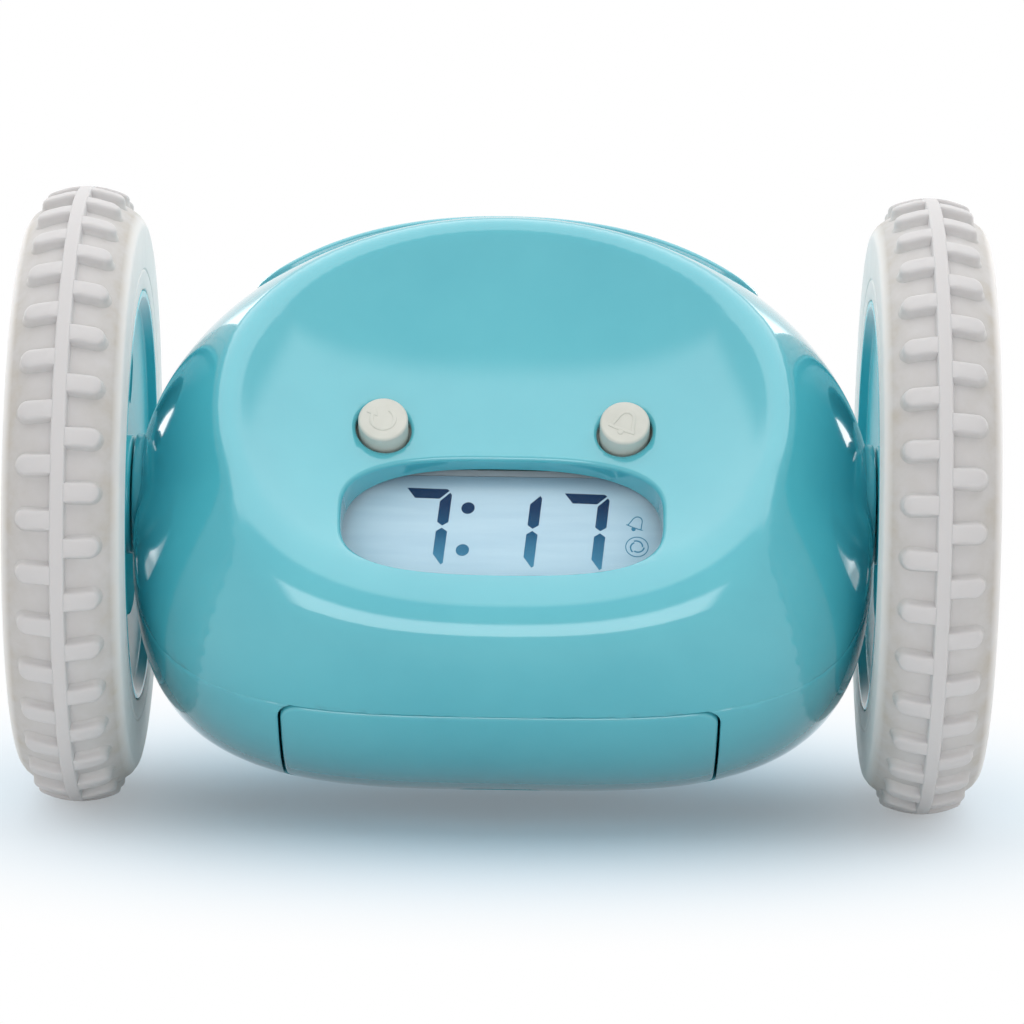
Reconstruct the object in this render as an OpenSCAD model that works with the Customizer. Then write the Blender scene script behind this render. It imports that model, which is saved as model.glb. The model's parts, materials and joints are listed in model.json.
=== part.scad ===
// Runaway alarm clock: a rounded body between two wheels that drive it off the shelf.
// Origin on the floor below the middle of the axle. X runs along the axle, the face looks
// towards -Y, and Z is up. Millimetres.

/* [Body] */
// Half of the body's length along the axle
body_half_length = 52; // [50:0.5:56]
// Radius of the body around the axle
body_r = 41; // [40:0.5:42]
// Squareness of the upper half (2 is an ellipse)
upper_squareness = 2; // [2:0.1:2.6]
// Squareness of the lower half
lower_squareness = 3.5; // [3:0.1:4.5]
// Thickness of the shells
wall = 2; // [1.6:0.1:2.4]
// Tilt of the plane in which the two shells meet, down towards the face
seam_tilt = 40; // [38:0.5:42]

/* [Face] */
// Tilt of the face: the height angle of its axis above the front
face_tilt = 40; // [38:0.5:42]
// Distance from the axle to the plane of the face's rim
rim_distance = 25.8; // [25:0.1:27]
// Depth of the dished face below its rim
dish_depth = 8; // [7:0.1:8.4]
// Half-width of the display opening
display_half_width = 22; // [20:0.5:23]
// Half-height of the display opening
display_half_height = 10.3; // [9:0.1:10.8]
// Distance of the display's centre below the face's centre
display_drop = 14.3; // [14:0.1:15]
// Depth of the display window below the middle of the dish
window_depth = 2.6; // [2.4:0.1:3]
// Thickness of the display window
window_t = 1.2; // [0.8:0.1:1.4]
// Thickness of the display panel
panel_t = 1.5; // [1.2:0.1:1.6]
// Thickness of the light guide behind the panel
light_guide_t = 0.75; // [0.5:0.05:0.9]

/* [Eye buttons] */
// Radius of an eye button's cap
eye_r = 3.45; // [3:0.05:3.6]
// Distance of each eye button from the middle
eye_x = 16.7; // [16:0.1:18]
// How far an eye button stands above the dish
eye_height = 2.5; // [1.8:0.1:3]
// Travel of a button
button_travel = 0.8; // [0.5:0.05:0.9]

/* [Snooze bar] */
// Half-length of the snooze bar along the axle
snooze_half_length = 35.6; // [30:0.2:36]
// Angle around the axle at which the bar starts, counted from the front
snooze_from = 96.5; // [96:0.5:99]
// Angle around the axle at which the bar ends
snooze_to = 125.5; // [122:0.5:127]
// How far the bar stands above the shell
snooze_rise = 1; // [0.8:0.1:1.3]

/* [Battery door] */
// Half-width of the battery door
door_half_width = 30; // [28.5:0.5:32]
// Angle of the door's lower edge below the front
door_to = 76; // [76:0.5:80]
// Thickness of the door
door_t = 1.6; // [1.2:0.1:1.8]
// Half-width of the finger notch in the door
notch_half_width = 5; // [3:0.5:8]

/* [Batteries] */
// Radius of a battery cell
cell_r = 5.25; // [5.1:0.05:5.25]
// Length of a battery cell with its nub
cell_length = 44.5; // [44:0.1:45]
// Gap between neighbouring cells
cell_gap = 0.3; // [0.2:0.05:0.4]
// Wall of the battery box
box_wall = 0.9; // [0.7:0.05:1]
// Length of a pressed battery spring
spring_length = 5; // [4:0.1:6]

/* [Wheels] */
// Radius of the wheel over the tread's centre rib
wheel_r = 43.5; // [43:0.1:46]
// How far a tyre's inner side reaches in past the end of the body
tyre_inset = 0.7; // [0.4:0.1:0.8]
// Width of a tyre
tyre_w = 16; // [15:0.2:17]
// Radius of the hub where the tyre sits
hub_r = 28.9; // [27:0.1:30]
// Thickness of the tyre's rubber
tyre_wall = 2.5; // [2:0.1:3]
// Radius of the tread's crown, seen in section
crown_r = 11; // [10.5:0.1:13]
// Height of the rib and the lugs above the tread
lug_height = 1.4; // [1:0.1:1.8]
// Lugs in one row
lug_count = 36; // [24:1:40]
// Width of a lug around the wheel
lug_w = 2.7; // [1.8:0.05:3.2]
// Reach of a lug from the tread's middle to its outer end
lug_reach = 5.65; // [5:0.05:6]
// Width of the centre rib
rib_w = 2.1; // [1:0.05:2.5]
// Radius of the hub's sleeve and of the body's collar
sleeve_r = 8.4; // [8:0.1:9]
// Depth of the hub's dish, from its lip to the sleeve
hub_dish = 4.1; // [3:0.1:5]
// Swirl slots in a hub
slot_count = 3; // [2:1:4]

/* [Drive] */
// Radius of the axle
axle_r = 1.5; // [1:0.05:2]
// Tooth size: pitch diameter over number of teeth
gear_module = 0.5; // [0.46:0.01:0.5]
// Teeth of the drive gear on the axle
drive_teeth = 40; // [36:1:40]
// Teeth of the large gear of the second reduction
second_teeth = 36; // [34:1:36]
// Teeth of the large gear of the first reduction
first_teeth = 32; // [30:1:32]
// Teeth of each small gear
small_teeth = 12; // [12:1:13]
// Width of a gear
gear_w = 3; // [2:0.1:3.2]
// Radius of the motor
motor_r = 10.1; // [9:0.1:10.2]
// Half-height of the motor across its flats
motor_half_flat = 7.6; // [7:0.1:8]
// Length of the motor
motor_length = 20; // [18:0.5:26]
// Radial running clearance of a shaft in its bore
running_fit = 0.05; // [0.02:0.01:0.1]

/* [Loudspeaker] */
// Radius of the loudspeaker
speaker_r = 14; // [12:0.5:14.5]
// Depth of the loudspeaker's basket
speaker_depth = 5; // [4:0.5:6]

/* [Hidden] */
RIGHT = 1;
LEFT = -1;
$fn = 48;

// Angles around the axle at which the squareness starts to change, and over which it does
front_change = -40;
back_change = 160;
change_span = 60;

// Sampling of the body's surface
rings = 26;
spokes = 40;
far = 200;
seat_gap = 0.1;
slide_gap = 0.3;
teal = "#6fb8c6";
deep_teal = "#2dbdcc";
rubber_white = "#cdcac8";
cap_white = "#d3d4ce";

// Dish: a barrel-shaped cut whose axis lies parallel to the axle
rim_half_height = sqrt(pow(body_r, 2) - pow(rim_distance, 2));
rim_half_width = body_half_length * sqrt(1 - pow(rim_distance / body_r, 2));
dish_bottom = rim_distance - dish_depth;
dish_r = (pow(rim_half_height, 2) + pow(dish_depth, 2)) / (2 * dish_depth);
dish_side_r = (pow(rim_half_width, 2) + pow(dish_depth, 2)) / (2 * dish_depth);

// Levels behind the face, along its axis
window_top = dish_bottom - window_depth;
window_bottom = window_top - window_t;
panel_top = window_bottom - seat_gap;
guide_top = panel_top - panel_t - seat_gap;
board_top = guide_top - light_guide_t - seat_gap;
board_t = 1.6;
board_bottom = board_top - board_t;
board_half_width = body_half_length - 24.6;
board_low = -26.5;
board_high = 12;
board_post_y = -16;
opening_wall = 1;
display_corner = 2.8;
panel_margin = 0.6;
frame_wall = 1.3;

// Eye buttons
eye_y = 0.2;
eye_flange_r = 4.2;
eye_flange_t = 0.8;
eye_hole_gap = 0.4;
eye_surface = dish_level(eye_x, eye_y);
eye_flange_bottom = window_top + 0.4;
switch_half = 3;
plunger_r = 1.75;
face_switch_h = eye_flange_bottom - board_top - button_travel - 0.3;

// Snooze bar
snooze_mid = (snooze_from + snooze_to) / 2;
snooze_gap = 0.45;
snooze_gap_angle = snooze_gap / body_r * 180 / PI;
snooze_skin = 3.3;
snooze_lip = 1.2;
snooze_board_low = body_r - 13.1;
snooze_switch_h = 3.5;
snooze_plunger_h = 1.2;
snooze_board_top = snooze_board_low + board_t;
snooze_post_bottom = snooze_board_top + snooze_switch_h + snooze_plunger_h + seat_gap;
snooze_board_half_length = 11;
snooze_board_half_width = 4.5;

// Battery bay, on the axis of the door
door_from = seam_tilt + 0.3;
bay_mid = -58;
bay_layer = 2 * cell_r + cell_gap;
cell_outer = sqrt(pow(body_r - wall - 1, 2) - pow(bay_layer / 2, 2)) - cell_r * 1.05;
cell_inner = cell_outer - bay_layer;
contact_t = 0.4;
nub_length = 0.8;
nub_r = 1.9;
spring_foot_r = 4.2;
spring_tip_r = 2.4;
spring_wall = 0.6;
bay_half_length = (cell_length + spring_length + 2 * contact_t + seat_gap) / 2;
bay_half_width = cell_r + bay_layer / 2 + 0.2;
box_half_width = bay_half_width + box_wall;
box_half_length = bay_half_length + 1;
box_floor = cell_inner - cell_r - 0.2;
notch_angle = 5;

// Wheels
tyre_inner_x = body_half_length - tyre_inset;
tread_floor_r = wheel_r - lug_height;
tyre_mid_x = tyre_inner_x + tyre_w / 2;
hub_floor_x = tyre_inner_x + hub_dish;
hub_rim_w = 1.7;
hub_web = 1.7;
sleeve_x = body_half_length + 0.4;
collar_r = sleeve_r + 0.3;
collar_x = body_half_length + 0.1;
collar_inner_x = body_half_length - 6;
bush_r = 5;
hub_boss_r = 5;
cover_t = 1.6;
cover_x = tyre_inner_x + tyre_w - 3;
slot_r = 9.5;
slot_offset = 12;
slot_bite = [5.5, -6.5];
slot_turn = 70;
lug_pitch = 360 / lug_count;
rib_sides = 56;

// Gear train: each place is [back, up] from the axle
mesh_gap = 0.02;
drive_r = drive_teeth * gear_module / 2;
second_r = second_teeth * gear_module / 2;
first_r = first_teeth * gear_module / 2;
small_r = small_teeth * gear_module / 2;
second_angle = 10;
first_angle = 100;
motor_angle = -55;
second_at = polar(drive_r + small_r + mesh_gap, second_angle);
first_at = second_at + polar(second_r + small_r + mesh_gap, first_angle);
motor_at = first_at + polar(first_r + small_r + mesh_gap, motor_angle);
plate_t = 1.2;
plate_x = body_half_length - 22.8;
layer_gap = 0.5;
first_layer = plate_x + plate_t + 0.6;
second_layer = first_layer + gear_w + layer_gap;
third_layer = second_layer + gear_w + layer_gap;
cover_plate_x = third_layer + gear_w + 0.6;
pin_r = 0.8;
motor_shaft_r = 1;
pillar_r = 1.5;
pillars = [
    polar(drive_r + 3.1, 108),
    polar(drive_r + 3.3, -70),
    second_at + polar(second_r + 2.2, -60)
];

// Loudspeaker, set buttons and screws
speaker_angle = 238;
speaker_front = sqrt(pow(body_r - wall, 2) - pow(speaker_r, 2)) - 2;
speaker_back = speaker_front - speaker_depth;
magnet_h = 3;
grille_hole_r = 0.75;
grille_pitch = 3.4;
set_angle = 200;
set_pitch = 8;
set_r = 2.4;
set_rise = 0.8;
set_board_half_length = 2.5 * set_pitch;
set_board_half_width = 5;
set_board_low = body_r - 11;
set_board_top = set_board_low + board_t;
set_switch_h = 2;
set_stem_bottom = set_board_top + set_switch_h + button_travel + seat_gap;
set_flange_top = body_r - wall - 0.5;
front_screw = [body_half_length - 17, 15 - body_r];
back_screw = [14, body_r - 7.5];
screw_r = 1.3;
boss_r = 3;
boss_rib = 0.8;
screw_head_r = 2.5;
well_r = 4;
head_depth = 6;
screw_reach = 8;

function polar(r, a) = [r * cos(a), r * sin(a)];

// Height of the dish along the face's axis at a point of the face
function dish_level(x, y) = dish_bottom + dish_r - sqrt(pow(dish_r, 2) - pow(y, 2))
    + dish_side_r - sqrt(pow(dish_side_r, 2) - pow(x, 2));

function smooth(t) = let (u = min(1, max(0, t))) u * u * (3 - 2 * u);

// Squareness around the axle: the angle is counted from the front, up over the top
function squareness(a) = let (
    b = a < -90 ? a + 360 : a,
    lower = b < 90 ? 1 - smooth((b - front_change) / change_span)
        : smooth((b - back_change) / change_span)
) upper_squareness + (lower_squareness - upper_squareness) * lower;

function skin_r(x, a, inset) = let (n = squareness(a)) (body_r - inset)
    * pow(max(0, 1 - pow(abs(x) / (body_half_length - inset), n)), 1 / n);

function around_axle(x, r, a) = [x, -r * cos(a), r * sin(a)];

function superellipse(a, b, n, count = 56) = [
    for (i = [0 : count - 1]) let (t = 360 * i / count, c = cos(t), s = sin(t))
        [a * sign(c) * pow(abs(c), 2 / n), b * sign(s) * pow(abs(s), 2 / n)]
];

// Closed body surface, moved inwards by inset
module skin(inset) {
    half = body_half_length - inset;
    stations = [for (i = [1 : rings - 1]) -half * cos(180 * i / rings)];
    last = len(stations) - 1;
    sides = [for (x = stations) for (k = [0 : spokes - 1])
        let (a = 360 * k / spokes - 180) around_axle(x, skin_r(x, a, inset), a)];
    ends = [[-half, 0, 0], [half, 0, 0]];
    low = len(sides);
    high = low + 1;
    between = [for (i = [0 : last - 1]) for (k = [0 : spokes - 1])
        let (m = (k + 1) % spokes, p = i * spokes)
            each [[p + k, p + m, p + spokes + m], [p + k, p + spokes + m, p + spokes + k]]];
    low_end = [for (k = [0 : spokes - 1]) [low, (k + 1) % spokes, k]];
    high_end = [for (k = [0 : spokes - 1])
        [high, last * spokes + k, last * spokes + (k + 1) % spokes]];
    polyhedron(concat(sides, ends), concat(between, low_end, high_end));
}

// Places what follows on the axle
module at_axle() {
    translate([0, 0, wheel_r])
        children();
}

// Turns +Z outwards at an angle around the axle, with +Y towards the next angle
module facing(a) {
    rotate([90 - a, 0, 0])
        children();
}

// Solid of revolution about the axle from a [radius, x] outline
module turned(sides = 96) {
    rotate([0, 90, 0])
        rotate_extrude($fn = sides)
            children();
}

// Prism along the axle from a [back, up] outline
module along_x(from_x, to_x) {
    translate([from_x, 0, 0])
        rotate([90, 0, 90])
            linear_extrude(to_x - from_x)
                children();
}

module on_side(side) {
    at_axle()
        mirror([side == LEFT ? 1 : 0, 0, 0])
            children();
}

// Barrel that cuts the dish; thicker by extra
module dish_barrel(extra) {
    facing(face_tilt)
        translate([0, 0, dish_bottom + dish_r])
            turned(128)
                intersection() {
                    translate([dish_r - dish_side_r, 0])
                        circle(dish_side_r + extra, $fn = 256);
                    translate([0, -far / 2])
                        square([far, far]);
                }
}

module body_solid(inset) {
    difference() {
        skin(inset);
        dish_barrel(inset);
    }
}

// Wedge around the axle between two angles
module wedge(from_a, to_a, half_length) {
    steps = 8;
    reach = 1.5 * body_r;
    along_x(-half_length, half_length)
        polygon(concat([[0, 0]], [for (i = [0 : steps])
            let (a = from_a + (to_a - from_a) * i / steps)
                [-reach * cos(a), reach * sin(a)]]));
}

module block(x, y, z) {
    translate([x[0], y[0], z[0]])
        cube([x[1] - x[0], y[1] - y[0], z[1] - z[0]]);
}

module rod(r, from_z, to_z) {
    translate([0, 0, from_z])
        cylinder(r = r, h = to_z - from_z);
}

// Half of space above or below the plane in which the shells meet
module seam_half(up) {
    rotate([seam_tilt, 0, 0])
        block([-far / 2, far / 2], [-far / 2, far / 2], up ? [0, far / 2] : [-far / 2, 0]);
}

// Places what follows at the four screws, with +Z square to the seam
module at_screws() {
    rotate([seam_tilt, 0, 0])
        for (side = [RIGHT, LEFT], place = [front_screw, back_screw])
            translate([side * place[0], place[1], 0])
                children();
}

module collars(r) {
    for (side = [RIGHT, LEFT])
        mirror([side == LEFT ? 1 : 0, 0, 0])
            turned(64)
                translate([0, collar_inner_x])
                    square([r, collar_x - collar_inner_x]);
}

module display_outline(grow) {
    translate([0, -display_drop])
        polygon(superellipse(display_half_width + grow, display_half_height + grow,
            display_corner));
}

// Rectangle that holds the display panel, larger by grow
module panel_outline(grow) {
    low = -display_drop - display_half_height;
    high = -display_drop + display_half_height - 0.4;
    translate([-display_half_width - panel_margin - grow, low - grow])
        square([2 * (display_half_width + panel_margin + grow), high - low + 2 * grow]);
}

// What the upper shell keeps of its hollow: opening walls, board posts, screw bosses
module upper_ribs() {
    facing(face_tilt) {
        translate([0, 0, window_top + seat_gap])
            linear_extrude(body_r)
                display_outline(opening_wall);
        for (side = [RIGHT, LEFT]) {
            translate([side * (board_half_width - 5), board_high - 4, 0])
                rod(2.2, board_top, body_r);
            translate([side * (board_half_width - 1.6), board_post_y, 0])
                rod(1.6, board_top, body_r);
        }
    }
    at_screws()
        rod(boss_r, 0, body_r);
    rotate([seam_tilt, 0, 0])
        for (side = [RIGHT, LEFT])
            block([side * back_screw[0] - boss_rib, side * back_screw[0] + boss_rib],
                [back_screw[1], body_r], [0, screw_reach]);
    facing(snooze_mid)
        for (side = [RIGHT, LEFT])
            translate([side * (snooze_board_half_length - 1.5), 0, 0])
                rod(1.4, snooze_board_top, body_r - wall);
    collars(collar_r);
}

module upper_shell() {
    color(teal)
        at_axle()
            difference() {
                intersection() {
                    union() {
                        body_solid(0);
                        collars(collar_r);
                    }
                    seam_half(true);
                }
                difference() {
                    body_solid(wall);
                    upper_ribs();
                }
                turned(64)
                    translate([0, -far / 2])
                        square([bush_r + running_fit, far]);
                facing(face_tilt) {
                    translate([0, 0, dish_bottom - 6])
                        linear_extrude(body_r)
                            display_outline(0);
                    for (side = [RIGHT, LEFT])
                        translate([side * eye_x, eye_y, 0])
                            rod(eye_r + eye_hole_gap, window_top, body_r);
                }
                wedge(snooze_from - snooze_gap_angle, snooze_to + snooze_gap_angle,
                    snooze_half_length + snooze_gap);
                at_screws()
                    rod(screw_r - 0.1, -1, screw_reach);
            }
}

// What the lower shell keeps of its hollow: screw wells, speaker ring, posts, cradles
module lower_ribs() {
    at_screws()
        rod(well_r, -body_r, 0);
    facing(speaker_angle)
        difference() {
            rod(speaker_r + 0.6, speaker_front + seat_gap, body_r);
            rod(speaker_r - 1, 0, body_r);
        }
    facing(set_angle)
        for (side = [RIGHT, LEFT])
            translate([side * (set_board_half_length - 2), 0, 0])
                rod(1.8, set_board_top, body_r);
    for (side = [RIGHT, LEFT])
        mirror([side == LEFT ? 1 : 0, 0, 0])
            block([plate_x, plate_x + plate_t], [-6, 16],
                [-body_r, pillars[1][1] - pillar_r - 1 - 0.2]);
    collars(collar_r);
}

module lower_shell() {
    color(teal)
        at_axle()
            difference() {
                intersection() {
                    union() {
                        body_solid(0);
                        collars(collar_r);
                    }
                    seam_half(false);
                }
                difference() {
                    body_solid(wall);
                    lower_ribs();
                }
                turned(64)
                    translate([0, -far / 2])
                        square([bush_r + running_fit, far]);
                wedge(-door_to - 0.5, -door_from + 5, door_half_width + slide_gap);
                at_screws() {
                    rod(screw_r + 0.2, -head_depth - 1, 1);
                    rod(screw_head_r + 0.4, -body_r, -head_depth);
                }
                facing(set_angle)
                    for (i = [-1.5 : 1.5])
                        translate([i * set_pitch, 0, 0])
                            rod(set_r + slide_gap, body_r - wall - 2, body_r + 2);
                facing(speaker_angle)
                    for (ring = [0 : 2], k = [0 : max(0, 6 * ring - 1)])
                        rotate(ring == 0 ? 0 : 60 * k / ring)
                            translate([ring * grille_pitch, 0, 0])
                                rod(grille_hole_r, speaker_front + 1, body_r + 2);
            }
}

module shell_screws() {
    color("silver")
        at_axle()
            at_screws() {
                rod(screw_r - 0.15, -head_depth, screw_reach - 1);
                rod(screw_head_r, -head_depth - 2, -head_depth);
            }
}

module battery_door() {
    color(teal)
        at_axle()
            difference() {
                intersection() {
                    difference() {
                        skin(0);
                        skin(door_t);
                    }
                    wedge(-door_to, -door_from, door_half_width);
                }
                wedge(-door_to - 1, -door_to + notch_angle / 2, notch_half_width);
            }
}

module snooze_bar() {
    color(teal)
        at_axle() {
            intersection() {
                difference() {
                    skin(-snooze_rise);
                    skin(snooze_skin);
                }
                wedge(snooze_from, snooze_to, snooze_half_length);
            }
            difference() {
                intersection() {
                    difference() {
                        skin(wall + slide_gap);
                        skin(snooze_skin);
                    }
                    wedge(snooze_from - 1, snooze_to + snooze_lip * 2,
                        snooze_half_length - 1);
                }
                at_screws()
                    rod(boss_r + button_travel + 0.4, 0, body_r);
            }
            facing(snooze_mid)
                rod(2, snooze_post_bottom, body_r - 2);
        }
}

module plunger(bottom, top) {
    color("dimgray")
        rod(plunger_r, bottom, top);
}

module snooze_plunger() {
    at_axle()
        facing(snooze_mid)
            plunger(snooze_post_bottom - seat_gap - snooze_plunger_h - 1,
                snooze_post_bottom - seat_gap);
}

// Square switch body with a well in which its plunger slides
module switch_body(bottom, top, well) {
    color("#303236")
        difference() {
            block([-switch_half, switch_half], [-switch_half, switch_half], [bottom, top]);
            rod(plunger_r + running_fit, top - well, top + 1);
        }
}

module snooze_switch() {
    at_axle()
        facing(snooze_mid)
            switch_body(snooze_board_top, snooze_board_top + snooze_switch_h, 2.2);
}

module snooze_board() {
    color("seagreen")
        at_axle()
            facing(snooze_mid)
                block([-snooze_board_half_length, snooze_board_half_length],
                    [-snooze_board_half_width, snooze_board_half_width],
                    [snooze_board_low, snooze_board_top]);
}

module display_window() {
    color("#dfeef2")
        at_axle()
            facing(face_tilt)
                translate([0, 0, window_bottom])
                    linear_extrude(window_t)
                        display_outline(opening_wall);
}

module display_panel() {
    color("#b7c6c0")
        at_axle()
            facing(face_tilt)
                translate([0, 0, panel_top - panel_t])
                    linear_extrude(panel_t)
                        panel_outline(0);
}

module display_frame() {
    color("white")
        at_axle()
            facing(face_tilt)
                translate([0, 0, board_top])
                    linear_extrude(window_bottom - board_top - seat_gap / 2)
                        difference() {
                            panel_outline(seat_gap + frame_wall);
                            panel_outline(seat_gap);
                            translate([-far / 2, -display_drop + display_half_height + 0.6])
                                square([far, far]);
                        }
}

module light_guide() {
    color("#cfe6f2")
        at_axle()
            facing(face_tilt)
                translate([0, 0, guide_top - light_guide_t])
                    linear_extrude(light_guide_t)
                        panel_outline(0);
}

module main_board() {
    color("seagreen")
        at_axle()
            facing(face_tilt)
                block([-board_half_width, board_half_width], [board_low, board_high],
                    [board_bottom, board_top]);
}

module driver_chip() {
    color("#303236")
        at_axle()
            facing(face_tilt)
                block([-5, 5], [-4, 6], [board_bottom - 1.2, board_bottom]);
}

module quartz_crystal() {
    color("silver")
        at_axle()
            facing(face_tilt)
                block([9, 19], [3, 7], [board_bottom - 2.5, board_bottom]);
}

module face_switches() {
    at_axle()
        facing(face_tilt)
            for (side = [RIGHT, LEFT])
                translate([side * eye_x, eye_y, 0])
                    switch_body(board_top, board_top + face_switch_h,
                        face_switch_h - 0.5);
}

module eye_button(side) {
    color(cap_white)
        at_axle()
            facing(face_tilt)
                translate([side * eye_x, eye_y, 0]) {
                    rod(eye_r, eye_flange_bottom, eye_surface + eye_height);
                    rod(eye_flange_r, eye_flange_bottom, eye_flange_bottom + eye_flange_t);
                }
}

module eye_plunger(side) {
    at_axle()
        facing(face_tilt)
            translate([side * eye_x, eye_y, 0])
                plunger(board_top + face_switch_h - 0.9, eye_flange_bottom);
}

module set_button(place) {
    color(cap_white)
        at_axle()
            facing(set_angle)
                translate([place * set_pitch, 0, 0]) {
                    rod(set_r, set_flange_top - 1, body_r + set_rise);
                    rod(set_r + 0.8, set_flange_top - 1, set_flange_top);
                    rod(1.2, set_stem_bottom, set_flange_top);
                }
}

module rear_switches() {
    color("#303236")
        at_axle()
            facing(set_angle)
                for (i = [-1.5 : 1.5])
                    translate([i * set_pitch, 0, 0])
                        rod(switch_half, set_board_top, set_board_top + set_switch_h);
}

module rear_switch_board() {
    color("seagreen")
        at_axle()
            facing(set_angle)
                block([-set_board_half_length, set_board_half_length],
                    [-set_board_half_width, set_board_half_width],
                    [set_board_low, set_board_top]);
}

module battery_box() {
    color("#2f7f8c")
        at_axle()
            difference() {
                intersection() {
                    facing(bay_mid)
                        block([-box_half_length, box_half_length],
                            [-box_half_width, box_half_width],
                            [box_floor - box_wall, body_r]);
                    skin(wall + seat_gap);
                }
                facing(bay_mid)
                    block([-bay_half_length, bay_half_length],
                        [-bay_half_width, bay_half_width], [box_floor, body_r + 1]);
            }
}

// Places what follows at the four cells; every other cell is turned end for end
module at_cells() {
    facing(bay_mid)
        for (row = [0, 1], layer = [0, 1])
            translate([0, (row - 0.5) * bay_layer, layer == 0 ? cell_inner : cell_outer])
                mirror([row == layer ? 1 : 0, 0, 0])
                    children();
}

// A cell's nub touches its plate on the +X side before turning
cell_end_x = bay_half_length - contact_t - seat_gap;

module battery_cells() {
    color("#b08d3c")
        at_axle()
            at_cells() {
                translate([cell_end_x - cell_length, 0, 0])
                    rotate([0, 90, 0])
                        cylinder(r = cell_r, h = cell_length - nub_length);
                translate([cell_end_x - nub_length, 0, 0])
                    rotate([0, 90, 0])
                        cylinder(r = nub_r, h = nub_length);
            }
}

module battery_springs() {
    start = -bay_half_length + contact_t;
    color("silver")
        at_axle()
            at_cells()
                turned(48)
                    polygon([
                        [spring_foot_r - spring_wall, start],
                        [spring_foot_r, start],
                        [spring_tip_r, start + spring_length],
                        [spring_tip_r - spring_wall, start + spring_length]
                    ]);
}

module battery_contacts() {
    reach = 0.85 * cell_r;
    color("silver")
        at_axle()
            at_cells()
                for (x = [-bay_half_length, bay_half_length - contact_t])
                    block([x, x + contact_t], [-reach, reach], [-reach, reach]);
}

module speaker_basket() {
    color("#3a3d40")
        at_axle()
            facing(speaker_angle)
                difference() {
                    union() {
                        rod(speaker_r, speaker_front - 1, speaker_front);
                        rod(speaker_r - 2.5, speaker_back, speaker_front);
                    }
                    rod(speaker_r - 3.5, speaker_back + 1, speaker_front + 1);
                }
}

module speaker_cone() {
    color("#1f1f22")
        at_axle()
            facing(speaker_angle)
                rotate_extrude($fn = 64)
                    polygon([
                        [0, speaker_back + 1.6], [3, speaker_back + 1.6],
                        [speaker_r - 3.8, speaker_front - 0.9],
                        [speaker_r - 3.8, speaker_front - 0.5],
                        [3, speaker_back + 2.1], [0, speaker_back + 2.1]
                    ]);
}

module speaker_magnet() {
    color("#55585c")
        at_axle()
            facing(speaker_angle)
                rod(speaker_r * 0.55, speaker_back - magnet_h, speaker_back);
}

// Involute gear outline with a tooth centred on +X
module gear_outline(teeth) {
    pressure = 25;
    r = teeth * gear_module / 2;
    base_r = r * cos(pressure);
    tip_r = r + 0.8 * gear_module;
    root_r = r - 1.1 * gear_module;
    half_tooth = 90 / teeth - 3 / r;
    flank_start = max(base_r, root_r) + 0.01;
    levels = [flank_start, (flank_start + r) / 2, r, (r + tip_r) / 2, tip_r];
    roll = tan(pressure) * 180 / PI - pressure;
    flank = [for (q = levels) let (p = acos(base_r / q))
        [q, half_tooth + roll - tan(p) * 180 / PI + p]];
    last = len(levels) - 1;
    polygon([for (i = [0 : teeth - 1]) let (a = 360 * i / teeth) each concat(
        [polar(root_r, a - flank[0][1] - 1)],
        [for (f = flank) polar(f[0], a - f[1])],
        [for (k = [last : -1 : 0]) polar(flank[k][0], a + flank[k][1])],
        [polar(root_r, a + flank[0][1] + 1)]
    )]);
}

// Gear along the axle with its bore; turned so that a tooth points at an angle
module gear(place, teeth, from_x, to_x, angle, bore) {
    along_x(from_x, to_x)
        translate(place)
            difference() {
                rotate(angle)
                    gear_outline(teeth);
                circle(bore);
            }
}

module motor(side) {
    color("silver")
        on_side(side)
            along_x(plate_x - seat_gap - motor_length, plate_x - seat_gap)
                translate(motor_at)
                    rotate(seam_tilt)
                        intersection() {
                            circle(motor_r, $fn = 64);
                            square([2 * motor_half_flat, far], center = true);
                        }
}

module motor_pinion(side) {
    facing_angle = motor_angle + 180 + 180 / small_teeth;
    color("#d9c27a")
        on_side(side) {
            gear(motor_at, small_teeth, first_layer, first_layer + gear_w, facing_angle,
                motor_shaft_r / 2);
            along_x(plate_x, first_layer + gear_w + 0.2)
                translate(motor_at)
                    circle(motor_shaft_r);
        }
}

module first_gear(side) {
    color("white")
        on_side(side) {
            gear(first_at, first_teeth, first_layer, first_layer + gear_w, motor_angle,
                pin_r + running_fit);
            gear(first_at, small_teeth, first_layer + gear_w, second_layer + gear_w,
                first_angle + 180 + 180 / small_teeth, pin_r + running_fit);
        }
}

module second_gear(side) {
    color("white")
        on_side(side) {
            gear(second_at, second_teeth, second_layer, second_layer + gear_w, first_angle,
                pin_r + running_fit);
            gear(second_at, small_teeth, second_layer + gear_w, third_layer + gear_w,
                second_angle + 180 + 180 / small_teeth, pin_r + running_fit);
        }
}

module drive_gear(side) {
    color("white")
        on_side(side)
            gear([0, 0], drive_teeth, third_layer, third_layer + gear_w, second_angle,
                axle_r + running_fit);
}

module gear_pins() {
    color("silver")
        for (side = [RIGHT, LEFT], place = [second_at, first_at])
            on_side(side)
                along_x(plate_x, cover_plate_x + plate_t)
                    translate(place)
                        circle(pin_r);
}

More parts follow.
